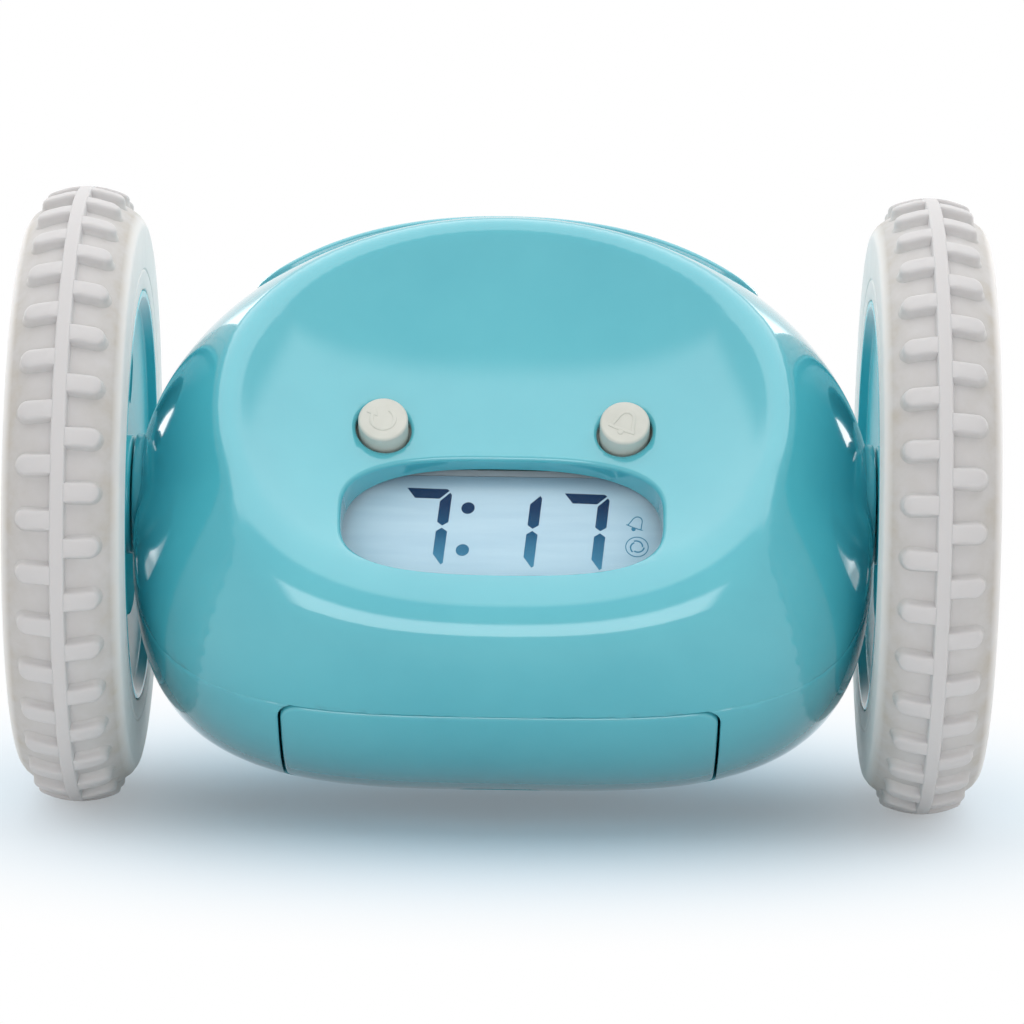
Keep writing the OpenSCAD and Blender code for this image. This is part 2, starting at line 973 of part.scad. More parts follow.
module gearbox_frame(side) {
    color("#e8e4da")
        on_side(side) {
            difference() {
                along_x(plate_x, plate_x + plate_t)
                    hull() {
                        circle(4, $fn = 32);
                        translate(motor_at)
                            circle(motor_r - 1, $fn = 32);
                        translate(first_at)
                            circle(4, $fn = 32);
                        for (place = pillars)
                            translate(place)
                                circle(pillar_r + 1, $fn = 32);
                    }
                along_x(plate_x - 1, plate_x + plate_t + 1) {
                    circle(axle_r + running_fit);
                    translate(motor_at)
                        circle(small_r + 0.5);
                    for (place = [second_at, first_at])
                        translate(place)
                            circle(pin_r);
                }
            }
            for (place = pillars)
                along_x(plate_x + plate_t, cover_plate_x)
                    translate(place)
                        circle(pillar_r);
        }
}

module gearbox_cover(side) {
    color("#e8e4da")
        on_side(side)
            difference() {
                along_x(cover_plate_x, cover_plate_x + plate_t)
                    hull() {
                        circle(4, $fn = 32);
                        translate(first_at)
                            circle(pin_r + 1, $fn = 32);
                        for (place = pillars)
                            translate(place)
                                circle(pillar_r + 0.6, $fn = 32);
                    }
                along_x(cover_plate_x - 1, cover_plate_x + plate_t + 1) {
                    circle(axle_r + running_fit);
                    for (place = [second_at, first_at])
                        translate(place)
                            circle(pin_r);
                }
            }
}

module axle(side) {
    color("silver")
        on_side(side)
            along_x(plate_x + 0.2, cover_x - 0.6)
                circle(axle_r);
}

module axle_bush(side) {
    color("#c9a24a")
        on_side(side)
            turned(64)
                difference() {
                    union() {
                        translate([0, collar_inner_x])
                            square([bush_r, body_half_length - collar_inner_x]);
                        translate([0, collar_inner_x - 1])
                            square([bush_r + 1.5, 1]);
                    }
                    translate([0, 0])
                        square([axle_r + running_fit, far]);
                }
}

// Three curved slots that swirl around the wheel
module swirl_slots(from_x, to_x) {
    along_x(from_x, to_x)
        for (k = [0 : slot_count - 1])
            rotate(slot_turn + 360 * k / slot_count)
                difference() {
                    translate([slot_offset, 0])
                        circle(slot_r);
                    translate(slot_bite)
                        circle(slot_r);
                    circle(sleeve_r + 1.2);
                }
}

module hub(side) {
    rim_inner_r = hub_r - hub_rim_w;
    color(deep_teal)
        on_side(side)
            difference() {
                turned()
                    polygon([
                        [axle_r + running_fit, sleeve_x],
                        [sleeve_r, sleeve_x],
                        [sleeve_r, hub_floor_x],
                        [rim_inner_r, tyre_inner_x + 1.3],
                        [hub_r - 0.9, tyre_inner_x],
                        [hub_r, tyre_inner_x],
                        [hub_r, cover_x + cover_t + 0.6],
                        [rim_inner_r, cover_x + cover_t + 0.6],
                        [rim_inner_r, tyre_inner_x + 1.3 + hub_web],
                        [sleeve_r, hub_floor_x + hub_web],
                        [hub_boss_r, hub_floor_x + hub_web],
                        [hub_boss_r, cover_x - seat_gap],
                        [axle_r + running_fit, cover_x - seat_gap]
                    ]);
                swirl_slots(tyre_inner_x, hub_floor_x + hub_web + 1);
            }
}

module wheel_cover(side) {
    cover_r = hub_r - hub_rim_w - seat_gap;
    color(deep_teal)
        on_side(side)
            difference() {
                turned()
                    polygon([
                        [0, cover_x], [cover_r, cover_x], [cover_r, cover_x + cover_t - 0.6],
                        [cover_r - 1, cover_x + cover_t], [sleeve_r + 1, cover_x + cover_t + 0.6],
                        [sleeve_r, cover_x + cover_t + 1.2], [0, cover_x + cover_t + 1.4]
                    ]);
                swirl_slots(cover_x - 1, cover_x + cover_t + 3);
            }
}

// Band of the tread's crown: the section's height above the crown is grow
module crown_section(grow, half_width, from_r) {
    intersection() {
        translate([tread_floor_r - crown_r, tyre_mid_x])
            circle(crown_r + grow, $fn = 96);
        translate([from_r, tyre_mid_x - half_width])
            square([wheel_r, 2 * half_width]);
    }
}

module tyre(side) {
    bore_r = hub_r + seat_gap;
    row_start = rib_w / 2 - 0.2;
    lug_base = tread_floor_r - 3;
    color(rubber_white)
        on_side(side) {
            difference() {
                turned(144)
                    crown_section(0, tyre_w / 2, bore_r);
                turned(144)
                    crown_section(-tyre_wall, tyre_w / 2 - tyre_wall, bore_r - 1);
            }
            tread_rib();
            intersection() {
                turned(144)
                    difference() {
                        crown_section(lug_height, lug_reach + 1, bore_r);
                        crown_section(-tyre_wall / 2, tyre_w / 2, 0);
                    }
                for (row = [-1, 1], k = [0 : lug_count - 1])
                    rotate([lug_pitch * (k + (row + 1) / 4), 0, 0])
                        translate([tyre_mid_x, 0, lug_base])
                            linear_extrude(lug_height + 4)
                                lug_outline(row, row_start);
            }
        }
}

// Centre rib in many flats, so that a standing wheel rests on one of them
module tread_rib() {
    along_x(tyre_mid_x - rib_w / 2, tyre_mid_x + rib_w / 2)
        difference() {
            polygon([for (k = [0 : rib_sides - 1]) polar(wheel_r, 360 * k / rib_sides)]);
            circle(tread_floor_r - 0.5, $fn = 144);
        }
}

// Lug seen from outside: square at the rib and round at its outer end
module lug_outline(row, row_start) {
    round_r = lug_w / 2;
    mirror([row < 0 ? 1 : 0, 0]) {
        translate([row_start, -round_r])
            square([lug_reach - row_start - round_r, lug_w]);
        translate([lug_reach - round_r, 0])
            circle(round_r);
    }
}

upper_shell();
lower_shell();
shell_screws();
battery_door();
snooze_bar();
snooze_plunger();
snooze_switch();
snooze_board();
display_window();
display_panel();
display_frame();
light_guide();
main_board();
driver_chip();
quartz_crystal();
face_switches();
eye_button(LEFT);  // wheels_button
eye_plunger(LEFT);  // wheels_plunger
eye_button(RIGHT);  // alarm_button
eye_plunger(RIGHT);  // alarm_plunger
set_button(-1.5);  // time_button
set_button(-0.5);  // alarm_set_button
set_button(0.5);  // hour_button
set_button(1.5);  // minute_button
rear_switches();
rear_switch_board();
battery_box();
battery_cells();
battery_springs();
battery_contacts();
speaker_basket();
speaker_cone();
speaker_magnet();
gear_pins();
motor(RIGHT);  // right_motor
motor_pinion(RIGHT);  // right_motor_pinion
gearbox_frame(RIGHT);  // right_gearbox_frame
gearbox_cover(RIGHT);  // right_gearbox_cover
first_gear(RIGHT);  // right_first_gear
second_gear(RIGHT);  // right_second_gear
drive_gear(RIGHT);  // right_drive_gear
axle(RIGHT);  // right_axle
axle_bush(RIGHT);  // right_axle_bush
hub(RIGHT);  // right_hub
wheel_cover(RIGHT);  // right_wheel_cover
tyre(RIGHT);  // right_tyre
motor(LEFT);  // left_motor
motor_pinion(LEFT);  // left_motor_pinion
gearbox_frame(LEFT);  // left_gearbox_frame
gearbox_cover(LEFT);  // left_gearbox_cover
first_gear(LEFT);  // left_first_gear
second_gear(LEFT);  // left_second_gear
drive_gear(LEFT);  // left_drive_gear
axle(LEFT);  // left_axle
axle_bush(LEFT);  // left_axle_bush
hub(LEFT);  // left_hub
wheel_cover(LEFT);  // left_wheel_cover
tyre(LEFT);  // left_tyre
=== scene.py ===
import json
import math
import bpy
import numpy as np
from mathutils import Matrix, Vector


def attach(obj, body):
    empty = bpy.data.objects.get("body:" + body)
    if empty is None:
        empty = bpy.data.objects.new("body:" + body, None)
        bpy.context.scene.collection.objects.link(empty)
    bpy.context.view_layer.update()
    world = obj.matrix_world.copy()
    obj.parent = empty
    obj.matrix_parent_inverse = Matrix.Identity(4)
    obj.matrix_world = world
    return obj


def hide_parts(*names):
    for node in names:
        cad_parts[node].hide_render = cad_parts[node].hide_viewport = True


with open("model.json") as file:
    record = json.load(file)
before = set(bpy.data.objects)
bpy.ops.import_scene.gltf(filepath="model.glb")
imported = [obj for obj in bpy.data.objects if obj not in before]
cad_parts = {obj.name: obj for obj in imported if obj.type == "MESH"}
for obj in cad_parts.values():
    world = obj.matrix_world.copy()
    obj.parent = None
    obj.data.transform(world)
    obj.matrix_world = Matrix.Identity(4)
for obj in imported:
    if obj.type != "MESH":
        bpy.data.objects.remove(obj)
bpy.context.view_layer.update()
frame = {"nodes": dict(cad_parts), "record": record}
bpy.ops.object.select_all(action="DESELECT")
bpy.context.scene.view_settings.view_transform = "Standard"

# -------- sizes
# Millimetres and degrees. Points are counted from the middle of the axle: X along the
# axle, the face looks towards -Y, Z is up. An angle around the axle counts from the front.
WHEEL_R = 43.5
HALF_LENGTH, BODY_R, WALL = 52.0, 41.0, 2.0
COLLAR_R, AXLE_BORE = 8.7, 5.05
FACE_ANGLE = 40
FACE = math.radians(FACE_ANGLE)
RIM_AT, DISH_DEPTH = 25.8, 8.0
RIM_HIGH = math.sqrt(BODY_R ** 2 - RIM_AT ** 2)
DISH_R = (RIM_HIGH ** 2 + DISH_DEPTH ** 2) / (2 * DISH_DEPTH)
DISH_AT = RIM_AT - DISH_DEPTH
# How the dish's radius falls with the square and the fourth power of X, up to X_MOST
DISH_WIDE, DISH_WIDER, X_MOST = 3.77e-3, 2.03e-6, 50
# The top lies lower than BODY_R by this, most at TOP_ANGLE
TOP_DROP, TOP_ANGLE, TOP_SPREAD = 1.0, 100, 75
# Half width, half height and middle of the display's opening, and levels along the face's axis
DISPLAY = (22, 10.3, -14.3)
WINDOW_TOP, PANEL_TOP, DISPLAY_FLOOR, EYE_FLOOR = 15.2, 13.9, 9.0, 12.0
EYE_X, EYE_Y, EYE_R, EYE_TOP, EYE_FOOT = 16.7, 0.2, 3.45, 21.6, 15.6
# The seam's plane, and the groove that shows outside along it
SEAM, GROOVE_HIGH, GROOVE_DEEP = 36.5, 0.22, 0.17
SEAM_COS, SEAM_SIN = math.cos(math.radians(SEAM)), math.sin(math.radians(SEAM))
SEAM_TURN = np.array([[1, 0, 0], [0, SEAM_COS, -SEAM_SIN], [0, SEAM_SIN, SEAM_COS]])
# Plates in the skin: first angle, last angle, half width
DOOR, DOOR_CORNER = (-76.0, -SEAM - 0.3, 30.0), 3
SNOOZE, SNOOZE_CORNER = (96.5, 125.5, 35.6), 6
SET_ANGLE, SET_PITCH = 200, 8
GRILLE_ANGLE, GRILLE_PITCH = 238, 3.4
SCREWS = [(side * x, y) for side in (1, -1) for x, y in ((35, -26), (14, 33.5))]
WELL_R, SHANK_R = 2.9, 1.5
# The cells lie along the axle, two in each of two layers
BAY_ANGLE, BAY_HALF, CELL_R, CELL_PITCH = -58, 24.9, 5.25, 10.8
CELL_OUT = math.sqrt((BODY_R - WALL - 1) ** 2 - (CELL_PITCH / 2) ** 2) - CELL_R * 1.05
CELL_IN = CELL_OUT - CELL_PITCH
TYRE_IN, TYRE_MID, TYRE_OUT = 51.3, 59.3, 67.3
BEAD_R, SHOULDER_R, RIB_FOOT = 29.0, 38.3, 42.08
CROWN_R, CROWN_AT = 11.0, 31.1
FACE_OUT = np.array([0, -math.cos(FACE), math.sin(FACE)])
FACE_UP = np.array([0, math.sin(FACE), math.cos(FACE)])
ALONG = np.array([1.0, 0, 0])


# -------- camera
def set_camera():
    yaw, pitch, roll = (math.radians(a) for a in (-0.529, 10.0, 0.775))
    ahead = Vector((math.sin(yaw) * math.cos(pitch), math.cos(yaw) * math.cos(pitch), -math.sin(pitch)))
    level = Vector((math.cos(yaw), -math.sin(yaw), 0))
    above = level.cross(ahead)
    right = math.cos(roll) * level + math.sin(roll) * above
    up = math.cos(roll) * above - math.sin(roll) * level
    lens = bpy.data.cameras.new("camera")
    lens.sensor_width, lens.lens = 36, 185
    lens.clip_start, lens.clip_end = 0.05, 20
    camera = bpy.data.objects.new("camera", lens)
    bpy.context.collection.objects.link(camera)
    place = Vector((0.00113, 0, 0.04178)) - ahead * 0.7451
    camera.matrix_world = Matrix((
        (right.x, up.x, -ahead.x, place.x),
        (right.y, up.y, -ahead.y, place.y),
        (right.z, up.z, -ahead.z, place.z),
        (0, 0, 0, 1)))
    bpy.context.scene.camera = camera


# -------- form of the body
def in_frame(points):
    points = np.array(points, float)
    points[..., 2] += WHEEL_R
    return points / 1000


def eased(t):
    t = np.clip(t, 0, 1)
    return t * t * (3 - 2 * t)


# Exponent of the superellipses along the body: round above, squarer below
def squareness(angle):
    angle = np.where(angle < -90, angle + 360, angle)
    lower = np.where(angle < 90, 1 - eased((angle + 40) / 60), eased((angle - 160) / 60))
    return 2 + 1.5 * lower


def body_radius(angle):
    angle = np.where(angle < -90, angle + 360, angle)
    return BODY_R - TOP_DROP * eased(1 - np.abs(angle - TOP_ANGLE) / TOP_SPREAD)


def skin_radius(x, angle):
    n = squareness(angle)
    return body_radius(angle) * (1 - np.clip(np.abs(x) / HALF_LENGTH, 0, 1) ** n) ** (1 / n)


def around_axle(x, radius, angle):
    a = np.radians(angle)
    return np.stack(np.broadcast_arrays(x, -radius * np.cos(a), radius * np.sin(a)), -1)


def on_face(x, y, z):
    x, y, z = np.broadcast_arrays(np.asarray(x, float), y, z)
    return x[..., None] * ALONG + y[..., None] * FACE_UP + z[..., None] * FACE_OUT


def dish_level(x, y):
    x = np.clip(x, -X_MOST, X_MOST)
    barrel = DISH_R - DISH_WIDE * x ** 2 - DISH_WIDER * x ** 4
    return DISH_AT + DISH_R - np.sqrt(barrel ** 2 - np.minimum(np.abs(y), 0.95 * barrel) ** 2)


# How far a point lies outside the body's skin, and in front of the dish: near the surface
# in millimetres, further away only its sign counts
def outside_skin(p, inset):
    x, angle = np.abs(p[..., 0]), np.degrees(np.arctan2(p[..., 2], -p[..., 1]))
    n, r = squareness(angle), np.hypot(p[..., 1], p[..., 2])
    a, b = HALF_LENGTH - inset, body_radius(angle) - inset
    level = ((x / a) ** n + (r / b) ** n) ** (1 / n) + 1e-9
    slope = level ** (1 - n) * np.hypot(x ** (n - 1) / a ** n, r ** (n - 1) / b ** n)
    return (level - 1) / np.maximum(slope, 1e-4)


def outside_dish(p, inset):
    x, y, z = p[..., 0], p @ FACE_UP, p @ FACE_OUT
    across = np.clip(np.abs(x), 0, X_MOST)
    slope = 2 * DISH_WIDE * across + 4 * DISH_WIDER * across ** 3
    lean = np.hypot(np.minimum(np.abs(y), 60) / DISH_R, slope / np.sqrt(1 + slope ** 2))
    return (z - dish_level(x, y) + inset) * np.sqrt(np.clip(1 - lean ** 2, 0.2, 1))


# How softly the rim turns from the dish into the back: broad at the chin
def rim_softness(turn):
    chin = (1 - np.sin(turn)) / 2
    return 2.8 + 6.7 * eased((chin - 0.62) / 0.38)


# How far each ray stays inside a form, found by halving
def way_out(outside, shape, most, halvings=40):
    near, far = np.zeros(shape), np.full(shape, most)
    for _ in range(halvings):
        middle = (near + far) / 2
        out = outside(middle)
        near, far = np.where(out, near, middle), np.where(out, middle, far)
    return near


# Rings from the middle of the dish, over the rim and round the back to its middle.
# All are sought along rays from a point low in the body, from which all of it is in view.
def body_rings(inset, columns, in_dish, on_rim, behind):
    turn = 2 * np.pi * np.arange(columns) / columns
    tilt = np.linspace(0, np.pi, 700)
    eye = -30 * FACE_OUT
    side = np.cos(turn)[:, None] * ALONG + np.sin(turn)[:, None] * FACE_UP
    ray = np.cos(tilt)[None, :, None] * FACE_OUT + np.sin(tilt)[None, :, None] * side[:, None, :]
    soft = rim_softness(turn)[:, None] + 0.4 * inset

    def outside(reach):
        p = eye + reach[..., None] * ray
        skin, dish = outside_skin(p, inset), outside_dish(p, inset)
        blend = np.maximum(soft - np.abs(skin - dish), 0) / soft
        return np.maximum(skin, dish) + blend * blend * soft / 4 > 0

    near = way_out(outside, ray.shape[:2], 120.0, 44)
    points = eye + near[..., None] * ray
    crossing = np.argmax(outside_skin(points, inset) > outside_dish(points, inset), axis=1)
    step = np.linalg.norm(np.diff(points, axis=1), axis=2)
    run = np.concatenate([np.zeros((columns, 1)), np.cumsum(step, axis=1)], axis=1)
    rings = []
    for c in range(columns):
        rim, end, width = run[c, crossing[c]], run[c, -1], 0.9 * soft[c, 0]
        stations = np.concatenate([
            (rim - width) * np.linspace(0, 1, in_dish, endpoint=False),
            np.linspace(rim - width, rim + width, on_rim, endpoint=False),
            rim + width + (end - rim - width) * np.linspace(0, 1, behind)])
        rings.append(np.stack([np.interp(stations, run[c], points[c, :, k]) for k in range(3)], -1))
    rings = np.array(rings).transpose(1, 0, 2)
    rings[0], rings[-1] = rings[0].mean(axis=0), rings[-1].mean(axis=0)
    return rings


# -------- modelling
def pick(piece):
    bpy.ops.object.select_all(action="DESELECT")
    piece.select_set(True)
    bpy.context.view_layer.objects.active = piece


def select_all():
    bpy.ops.mesh.select_all(action="SELECT")


def face_outwards():
    bpy.ops.mesh.normals_make_consistent(inside=False)


def edit(piece, *steps):
    pick(piece)
    bpy.ops.object.mode_set(mode="EDIT")
    bpy.ops.mesh.select_mode(type="VERT")
    select_all()
    for step in steps:
        step()
    bpy.ops.object.mode_set(mode="OBJECT")


def close_up(piece):
    edit(
        piece,
        lambda: bpy.ops.mesh.remove_doubles(threshold=2e-6),
        bpy.ops.mesh.delete_loose,
        select_all,
        lambda: bpy.ops.mesh.fill_holes(sides=0),
        select_all,
        face_outwards)


# A place that mirrors turns the faces round again
def bring(piece, place):
    if place is not None:
        piece.data.transform(place)
        if place.determinant() < 0:
            piece.data.flip_normals()
    return piece


def put(piece, points):
    piece.data.vertices.foreach_set("co", in_frame(points).reshape(-1))
    piece.data.update()


# Skin through rings of points; an end that isn't drawn to a point is closed flat
def lofted(name, rings):
    rings = np.asarray(rings)
    bpy.ops.mesh.primitive_grid_add(
        x_subdivisions=rings.shape[1], y_subdivisions=rings.shape[0] - 1, size=0.1)
    piece = bpy.context.object
    piece.name = name
    put(piece, np.concatenate([rings, rings[:, :1]], axis=1).reshape(-1, 3))
    close_up(piece)
    return piece


# Closed [radius, height] outline turned around +Z, then brought to its place
def spun(name, outline, place=None, steps=64):
    outline = np.asarray(outline)
    bpy.ops.mesh.primitive_circle_add(vertices=len(outline), radius=0.01)
    piece = bpy.context.object
    piece.name = name
    flat = np.stack([outline[:, 0], 0 * outline[:, 0], outline[:, 1]], -1) / 1000
    piece.data.vertices.foreach_set("co", flat.reshape(-1))
    edit(piece, lambda: bpy.ops.mesh.spin(
        steps=steps, angle=2 * math.pi, center=(0, 0, 0), axis=(0, 0, 1)))
    close_up(piece)
    return bring(piece, place)


# Flat outline raised between two heights along +Z, then brought to its place
def raised(name, outline, low, high, place=None):
    outline = np.asarray(outline)
    bpy.ops.mesh.primitive_circle_add(vertices=len(outline), radius=0.01, fill_type="NGON")
    piece = bpy.context.object
    piece.name = name
    flat = np.concatenate([outline, np.full((len(outline), 1), low)], 1) / 1000
    piece.data.vertices.foreach_set("co", flat.reshape(-1))
    edit(piece, lambda: bpy.ops.mesh.extrude_region_move(
        TRANSFORM_OT_translate={"value": (0, 0, (high - low) / 1000)}))
    edit(piece, face_outwards)
    return bring(piece, place)


def joined(name, *pieces):
    pick(pieces[0])
    for piece in pieces[1:]:
        piece.select_set(True)
    bpy.ops.object.join()
    pieces[0].name = name
    return pieces[0]


def copied(piece, turn):
    copy = piece.copy()
    copy.data = piece.data.copy()
    bpy.context.collection.objects.link(copy)
    return bring(copy, turn)


def combine(piece, tool, way):
    pick(piece)
    step = piece.modifiers.new("combine", "BOOLEAN")
    step.operation, step.solver, step.object = way, "EXACT", tool
    bpy.ops.object.modifier_apply(modifier=step.name)
    bpy.data.objects.remove(tool)


def rounded_edges(piece, width, segments, angle):
    pick(piece)
    step = piece.modifiers.new("edges", "BEVEL")
    step.width, step.segments, step.limit_method = width / 1000, segments, "ANGLE"
    step.angle_limit = math.radians(angle)
    bpy.ops.object.modifier_apply(modifier=step.name)


def smooth_shaded(piece, angle=35):
    pick(piece)
    bpy.ops.object.shade_smooth_by_angle(angle=math.radians(angle))
    return piece


# Outline whose corners [u, v, radius] are turned in arcs
def with_arcs(corners, steps=5):
    line = []
    count = len(corners)
    for i, (u, v, radius) in enumerate(corners):
        here = np.array([u, v], float)
        before = np.array(corners[i - 1][:2], float) - here
        after = np.array(corners[(i + 1) % count][:2], float) - here
        reach_a, reach_b = np.linalg.norm(before), np.linalg.norm(after)
        before, after = before / reach_a, after / reach_b
        half = math.acos(np.clip(before @ after, -1, 1)) / 2
        if radius <= 0 or half > 1.5:
            line.append(here)
            continue
        reach = min(radius / math.tan(half), 0.49 * reach_a, 0.49 * reach_b)
        radius = reach * math.tan(half)
        middle = here + (before + after) / np.linalg.norm(before + after) * radius / math.sin(half)
        start, end = here + before * reach - middle, here + after * reach - middle
        swing = math.atan2(start[0] * end[1] - start[1] * end[0], start @ end)
        for k in range(steps + 1):
            a = swing * k / steps
            line.append(middle + [start[0] * math.cos(a) - start[1] * math.sin(a),
                                  start[0] * math.sin(a) + start[1] * math.cos(a)])
    return np.array(line)


# The outline moved outwards; it runs counter-clockwise
def grown(outline, amount):
    ahead = np.roll(outline, -1, axis=0) - np.roll(outline, 1, axis=0)
    ahead /= np.linalg.norm(ahead, axis=1)[:, None] + 1e-12
    return outline + amount * np.stack([ahead[:, 1], -ahead[:, 0]], -1)


# Points at even steps along a line, and round a closed outline
def stepped(line, count, endpoint=True):
    line = np.asarray(line, float)
    run = np.concatenate([[0], np.cumsum(np.linalg.norm(np.diff(line, axis=0), axis=1))])
    at = np.linspace(0, run[-1], count, endpoint=endpoint)
    return np.stack([np.interp(at, run, line[:, k]) for k in range(2)], -1)


def even(outline, count):
    return stepped(np.concatenate([outline, outline[:1]]), count, False)


def turned_by(points, degrees, middle=(0, 0)):
    a = math.radians(degrees)
    p = np.asarray(points)
    return np.stack([middle[0] + p[:, 0] * math.cos(a) - p[:, 1] * math.sin(a),
                     middle[1] + p[:, 0] * math.sin(a) + p[:, 1] * math.cos(a)], -1)


def circle(radius, count=40, middle=(0, 0)):
    a = 2 * np.pi * np.arange(count) / count
    return np.stack([middle[0] + radius * np.cos(a), middle[1] + radius * np.sin(a)], -1)


def superellipse(a, b, n, count, middle=(0, 0)):
    t = 2 * np.pi * np.arange(count) / count
    c, s = np.cos(t), np.sin(t)
    return np.stack([middle[0] + a * np.sign(c) * np.abs(c) ** (2 / n),
                     middle[1] + b * np.sign(s) * np.abs(s) ** (2 / n)], -1)


# Matrix that brings +Z to an outward direction at an angle around the axle
def facing(angle, x=0.0, y=0.0):
    a = math.radians(angle)
    out = Vector((0, -math.cos(a), math.sin(a)))
    up = Vector((0, math.sin(a), math.cos(a)))
    at = x * Vector((1, 0, 0)) + y * up + Vector((0, 0, WHEEL_R))
    return Matrix(((1, up.x, out.x, at.x / 1000), (0, up.y, out.y, at.y / 1000),
                   (0, up.z, out.z, at.z / 1000), (0, 0, 0, 1)))


# Matrix that lays +Z along the axle, outwards on one side
def on_axle(side):
    return Matrix(((0, 0, side, 0), (0, 1, 0, 0), (1, 0, 0, WHEEL_R / 1000), (0, 0, 0, 1)))


# -------- openings
# Cutter for a hole with softly turned edges. lay(u, v, height) gives a point at a height
# above the surface, and the hole ends at a depth below it or on floor(u, v).
def opening(name, outline, lay, edge, depth=0, floor=None):
    middle = outline.mean(axis=0)
    rings = [lay(*(middle + (outline - middle) * part).T, 3.0) for part in (0, 0.25, 0.5, 0.75, 0.92)]
    rings.append(lay(*grown(outline, edge + 1.2).T, 0.5))
    for t in np.radians([14, 30, 46, 62, 76, 90]):
        rings.append(lay(*grown(outline, edge * (1 - math.sin(t))).T, -edge * (1 - math.cos(t))))
    rings.append(floor(*outline.T) if floor else lay(*outline.T, -depth))
    return lofted(name, rings)


def over_dish(x, y, height):
    return on_face(x, y, dish_level(x, y) + height)


# On the skin, v is millimetres around the axle at the body's full radius
def over_skin(x, v, height):
    angle = np.degrees(np.asarray(v) / BODY_R)
    return around_axle(x, skin_radius(x, angle) + height, angle)


# Heights above the skin, straight out at one angle around the axle
def over_spot(angle, middle_x=0.0, middle_y=0.0):
    turn = np.array(facing(angle, middle_x, middle_y).to_3x3())
    out, up = turn[:, 2], turn[:, 1]

    def lay(x, y, height):
        p = (np.asarray(x) + middle_x)[..., None] * ALONG + (np.asarray(y) + middle_y)[..., None] * up
        near = way_out(lambda reach: outside_skin(p + reach[:, None] * out, 0) > 0, len(p), 60.0)
        return p + (near + height)[:, None] * out
    return lay


# Opening over the display: rounder above, squarer below
def display_outline(grow=0.0):
    wide, high, middle = DISPLAY
    above, below = (superellipse(wide + grow, high + grow, n, 120, (0, middle)) for n in (2.6, 3.8))
    return np.where(above[:, 1:] > middle, above, below)


def arc(angle):
    return math.radians(angle) * BODY_R


# Outline of a plate in the skin, with a finger notch in its lower edge if one is given
def plate_outline(plate, corner, grow, count, notch=0.0):
    low, high, half = plate
    a, b = arc(low) - grow, arc(high) + grow
    h, r = half + grow, corner + grow
    corners = [(h, a, r), (h, b, r), (-h, b, r), (-h, a, r)]
    if notch:
        corners += [(-notch - 0.6, a, 0.6), (-notch + 0.4, a + 1.9, 0.7),
                    (notch - 0.4, a + 1.9, 0.7), (notch + 0.6, a, 0.6)]
    return even(with_arcs(corners, 8), count)


# One half of the body: both skins cut at the seam and bridged there, with the groove outside
def body_half(name, outer, inner, upper):
    shell = joined(name, outer, inner)
    middle = (0, 0, WHEEL_R / 1000)
    normal = Vector(SEAM_TURN[:, 2])

    def cut_at(offset, **ways):
        select_all()
        bpy.ops.mesh.bisect(plane_co=Vector(middle) + normal * offset / 1000, plane_no=normal, **ways)

    edit(shell,
         lambda: cut_at(GROOVE_HIGH if upper else -GROOVE_HIGH),
         lambda: cut_at(0, clear_inner=upper, clear_outer=not upper))
    seam = np.array([v.co for v in shell.data.vertices])
    local = seam - np.array(middle)
    flat = np.abs(local @ np.array(normal)) < 1e-6
    outermost = outside_skin(local * 1000, 0) > -0.6
    clear_of_collar = np.hypot(local[:, 1], local[:, 2]) > (COLLAR_R + 0.8) / 1000
    for i in np.nonzero(flat & outermost & clear_of_collar)[0]:
        radial = Vector(local[i]) * Vector((0, 1, 1))
        shell.data.vertices[i].co -= radial.normalized() * (GROOVE_DEEP / 1000)
    edit(shell,
         lambda: bpy.ops.mesh.select_all(action="DESELECT"),
         lambda: bpy.ops.mesh.select_non_manifold(
             extend=False, use_wire=False, use_boundary=True, use_multi_face=False,
             use_non_contiguous=False, use_verts=False),
         bpy.ops.mesh.bridge_edge_loops,
         select_all,
         face_outwards)
    return shell


def collar(side):
    outline = with_arcs([(0, 46, 0), (COLLAR_R, 46, 0), (COLLAR_R, 52.1, 0.35), (0, 52.1, 0)])
    return spun("collar", outline, on_axle(side), 72)


def drill(name, radius, low, high, place, count=40):
    return raised(name, circle(radius, count), low, high, place)


def make_shells():
    outer = lofted("outer", body_rings(0, 216, 30, 12, 84))
    combine(outer, joined("collars", collar(1), collar(-1)), "UNION")
    inner = lofted("inner", body_rings(WALL, 120, 16, 6, 44))
    inner.data.flip_normals()
    turn = Matrix.Identity(4)
    upper = body_half("upper_shell_skin", copied(outer, turn), copied(inner, turn), True)
    lower = body_half("lower_shell_skin", outer, inner, False)
    return upper, lower


def cut_holes(shell, tools):
    combine(shell, joined("tools", *tools), "DIFFERENCE")
    for side in (1, -1):
        combine(shell, drill("bore", AXLE_BORE, 40, 60, on_axle(side), 64), "DIFFERENCE")


def finish_upper(shell):
    def under_dish(grow, drop):
        return over_dish(*display_outline(grow).T, -drop)

    def at_window(grow):
        return on_face(*display_outline(grow).T, WINDOW_TOP + 0.1)

    wall = [at_window(1), under_dish(1, 0.6), under_dish(-1, 0.6), at_window(-1), at_window(1)]
    combine(shell, lofted("opening_wall", wall), "UNION")
    tools = [opening("display_hole", display_outline(), over_dish, 0.7,
                     floor=lambda x, y: on_face(x, y, DISPLAY_FLOOR))]
    for side in (1, -1):
        ring = circle(EYE_R + 0.4, 56, (side * EYE_X, EYE_Y))
        tools.append(opening("eye_hole", ring, over_dish, 0.55, floor=lambda x, y: on_face(x, y, EYE_FLOOR)))
    slot = plate_outline(SNOOZE, SNOOZE_CORNER, 0.45, 200)
    tools.append(opening("snooze_hole", slot, over_skin, 0.35, 6))
    cut_holes(shell, tools)


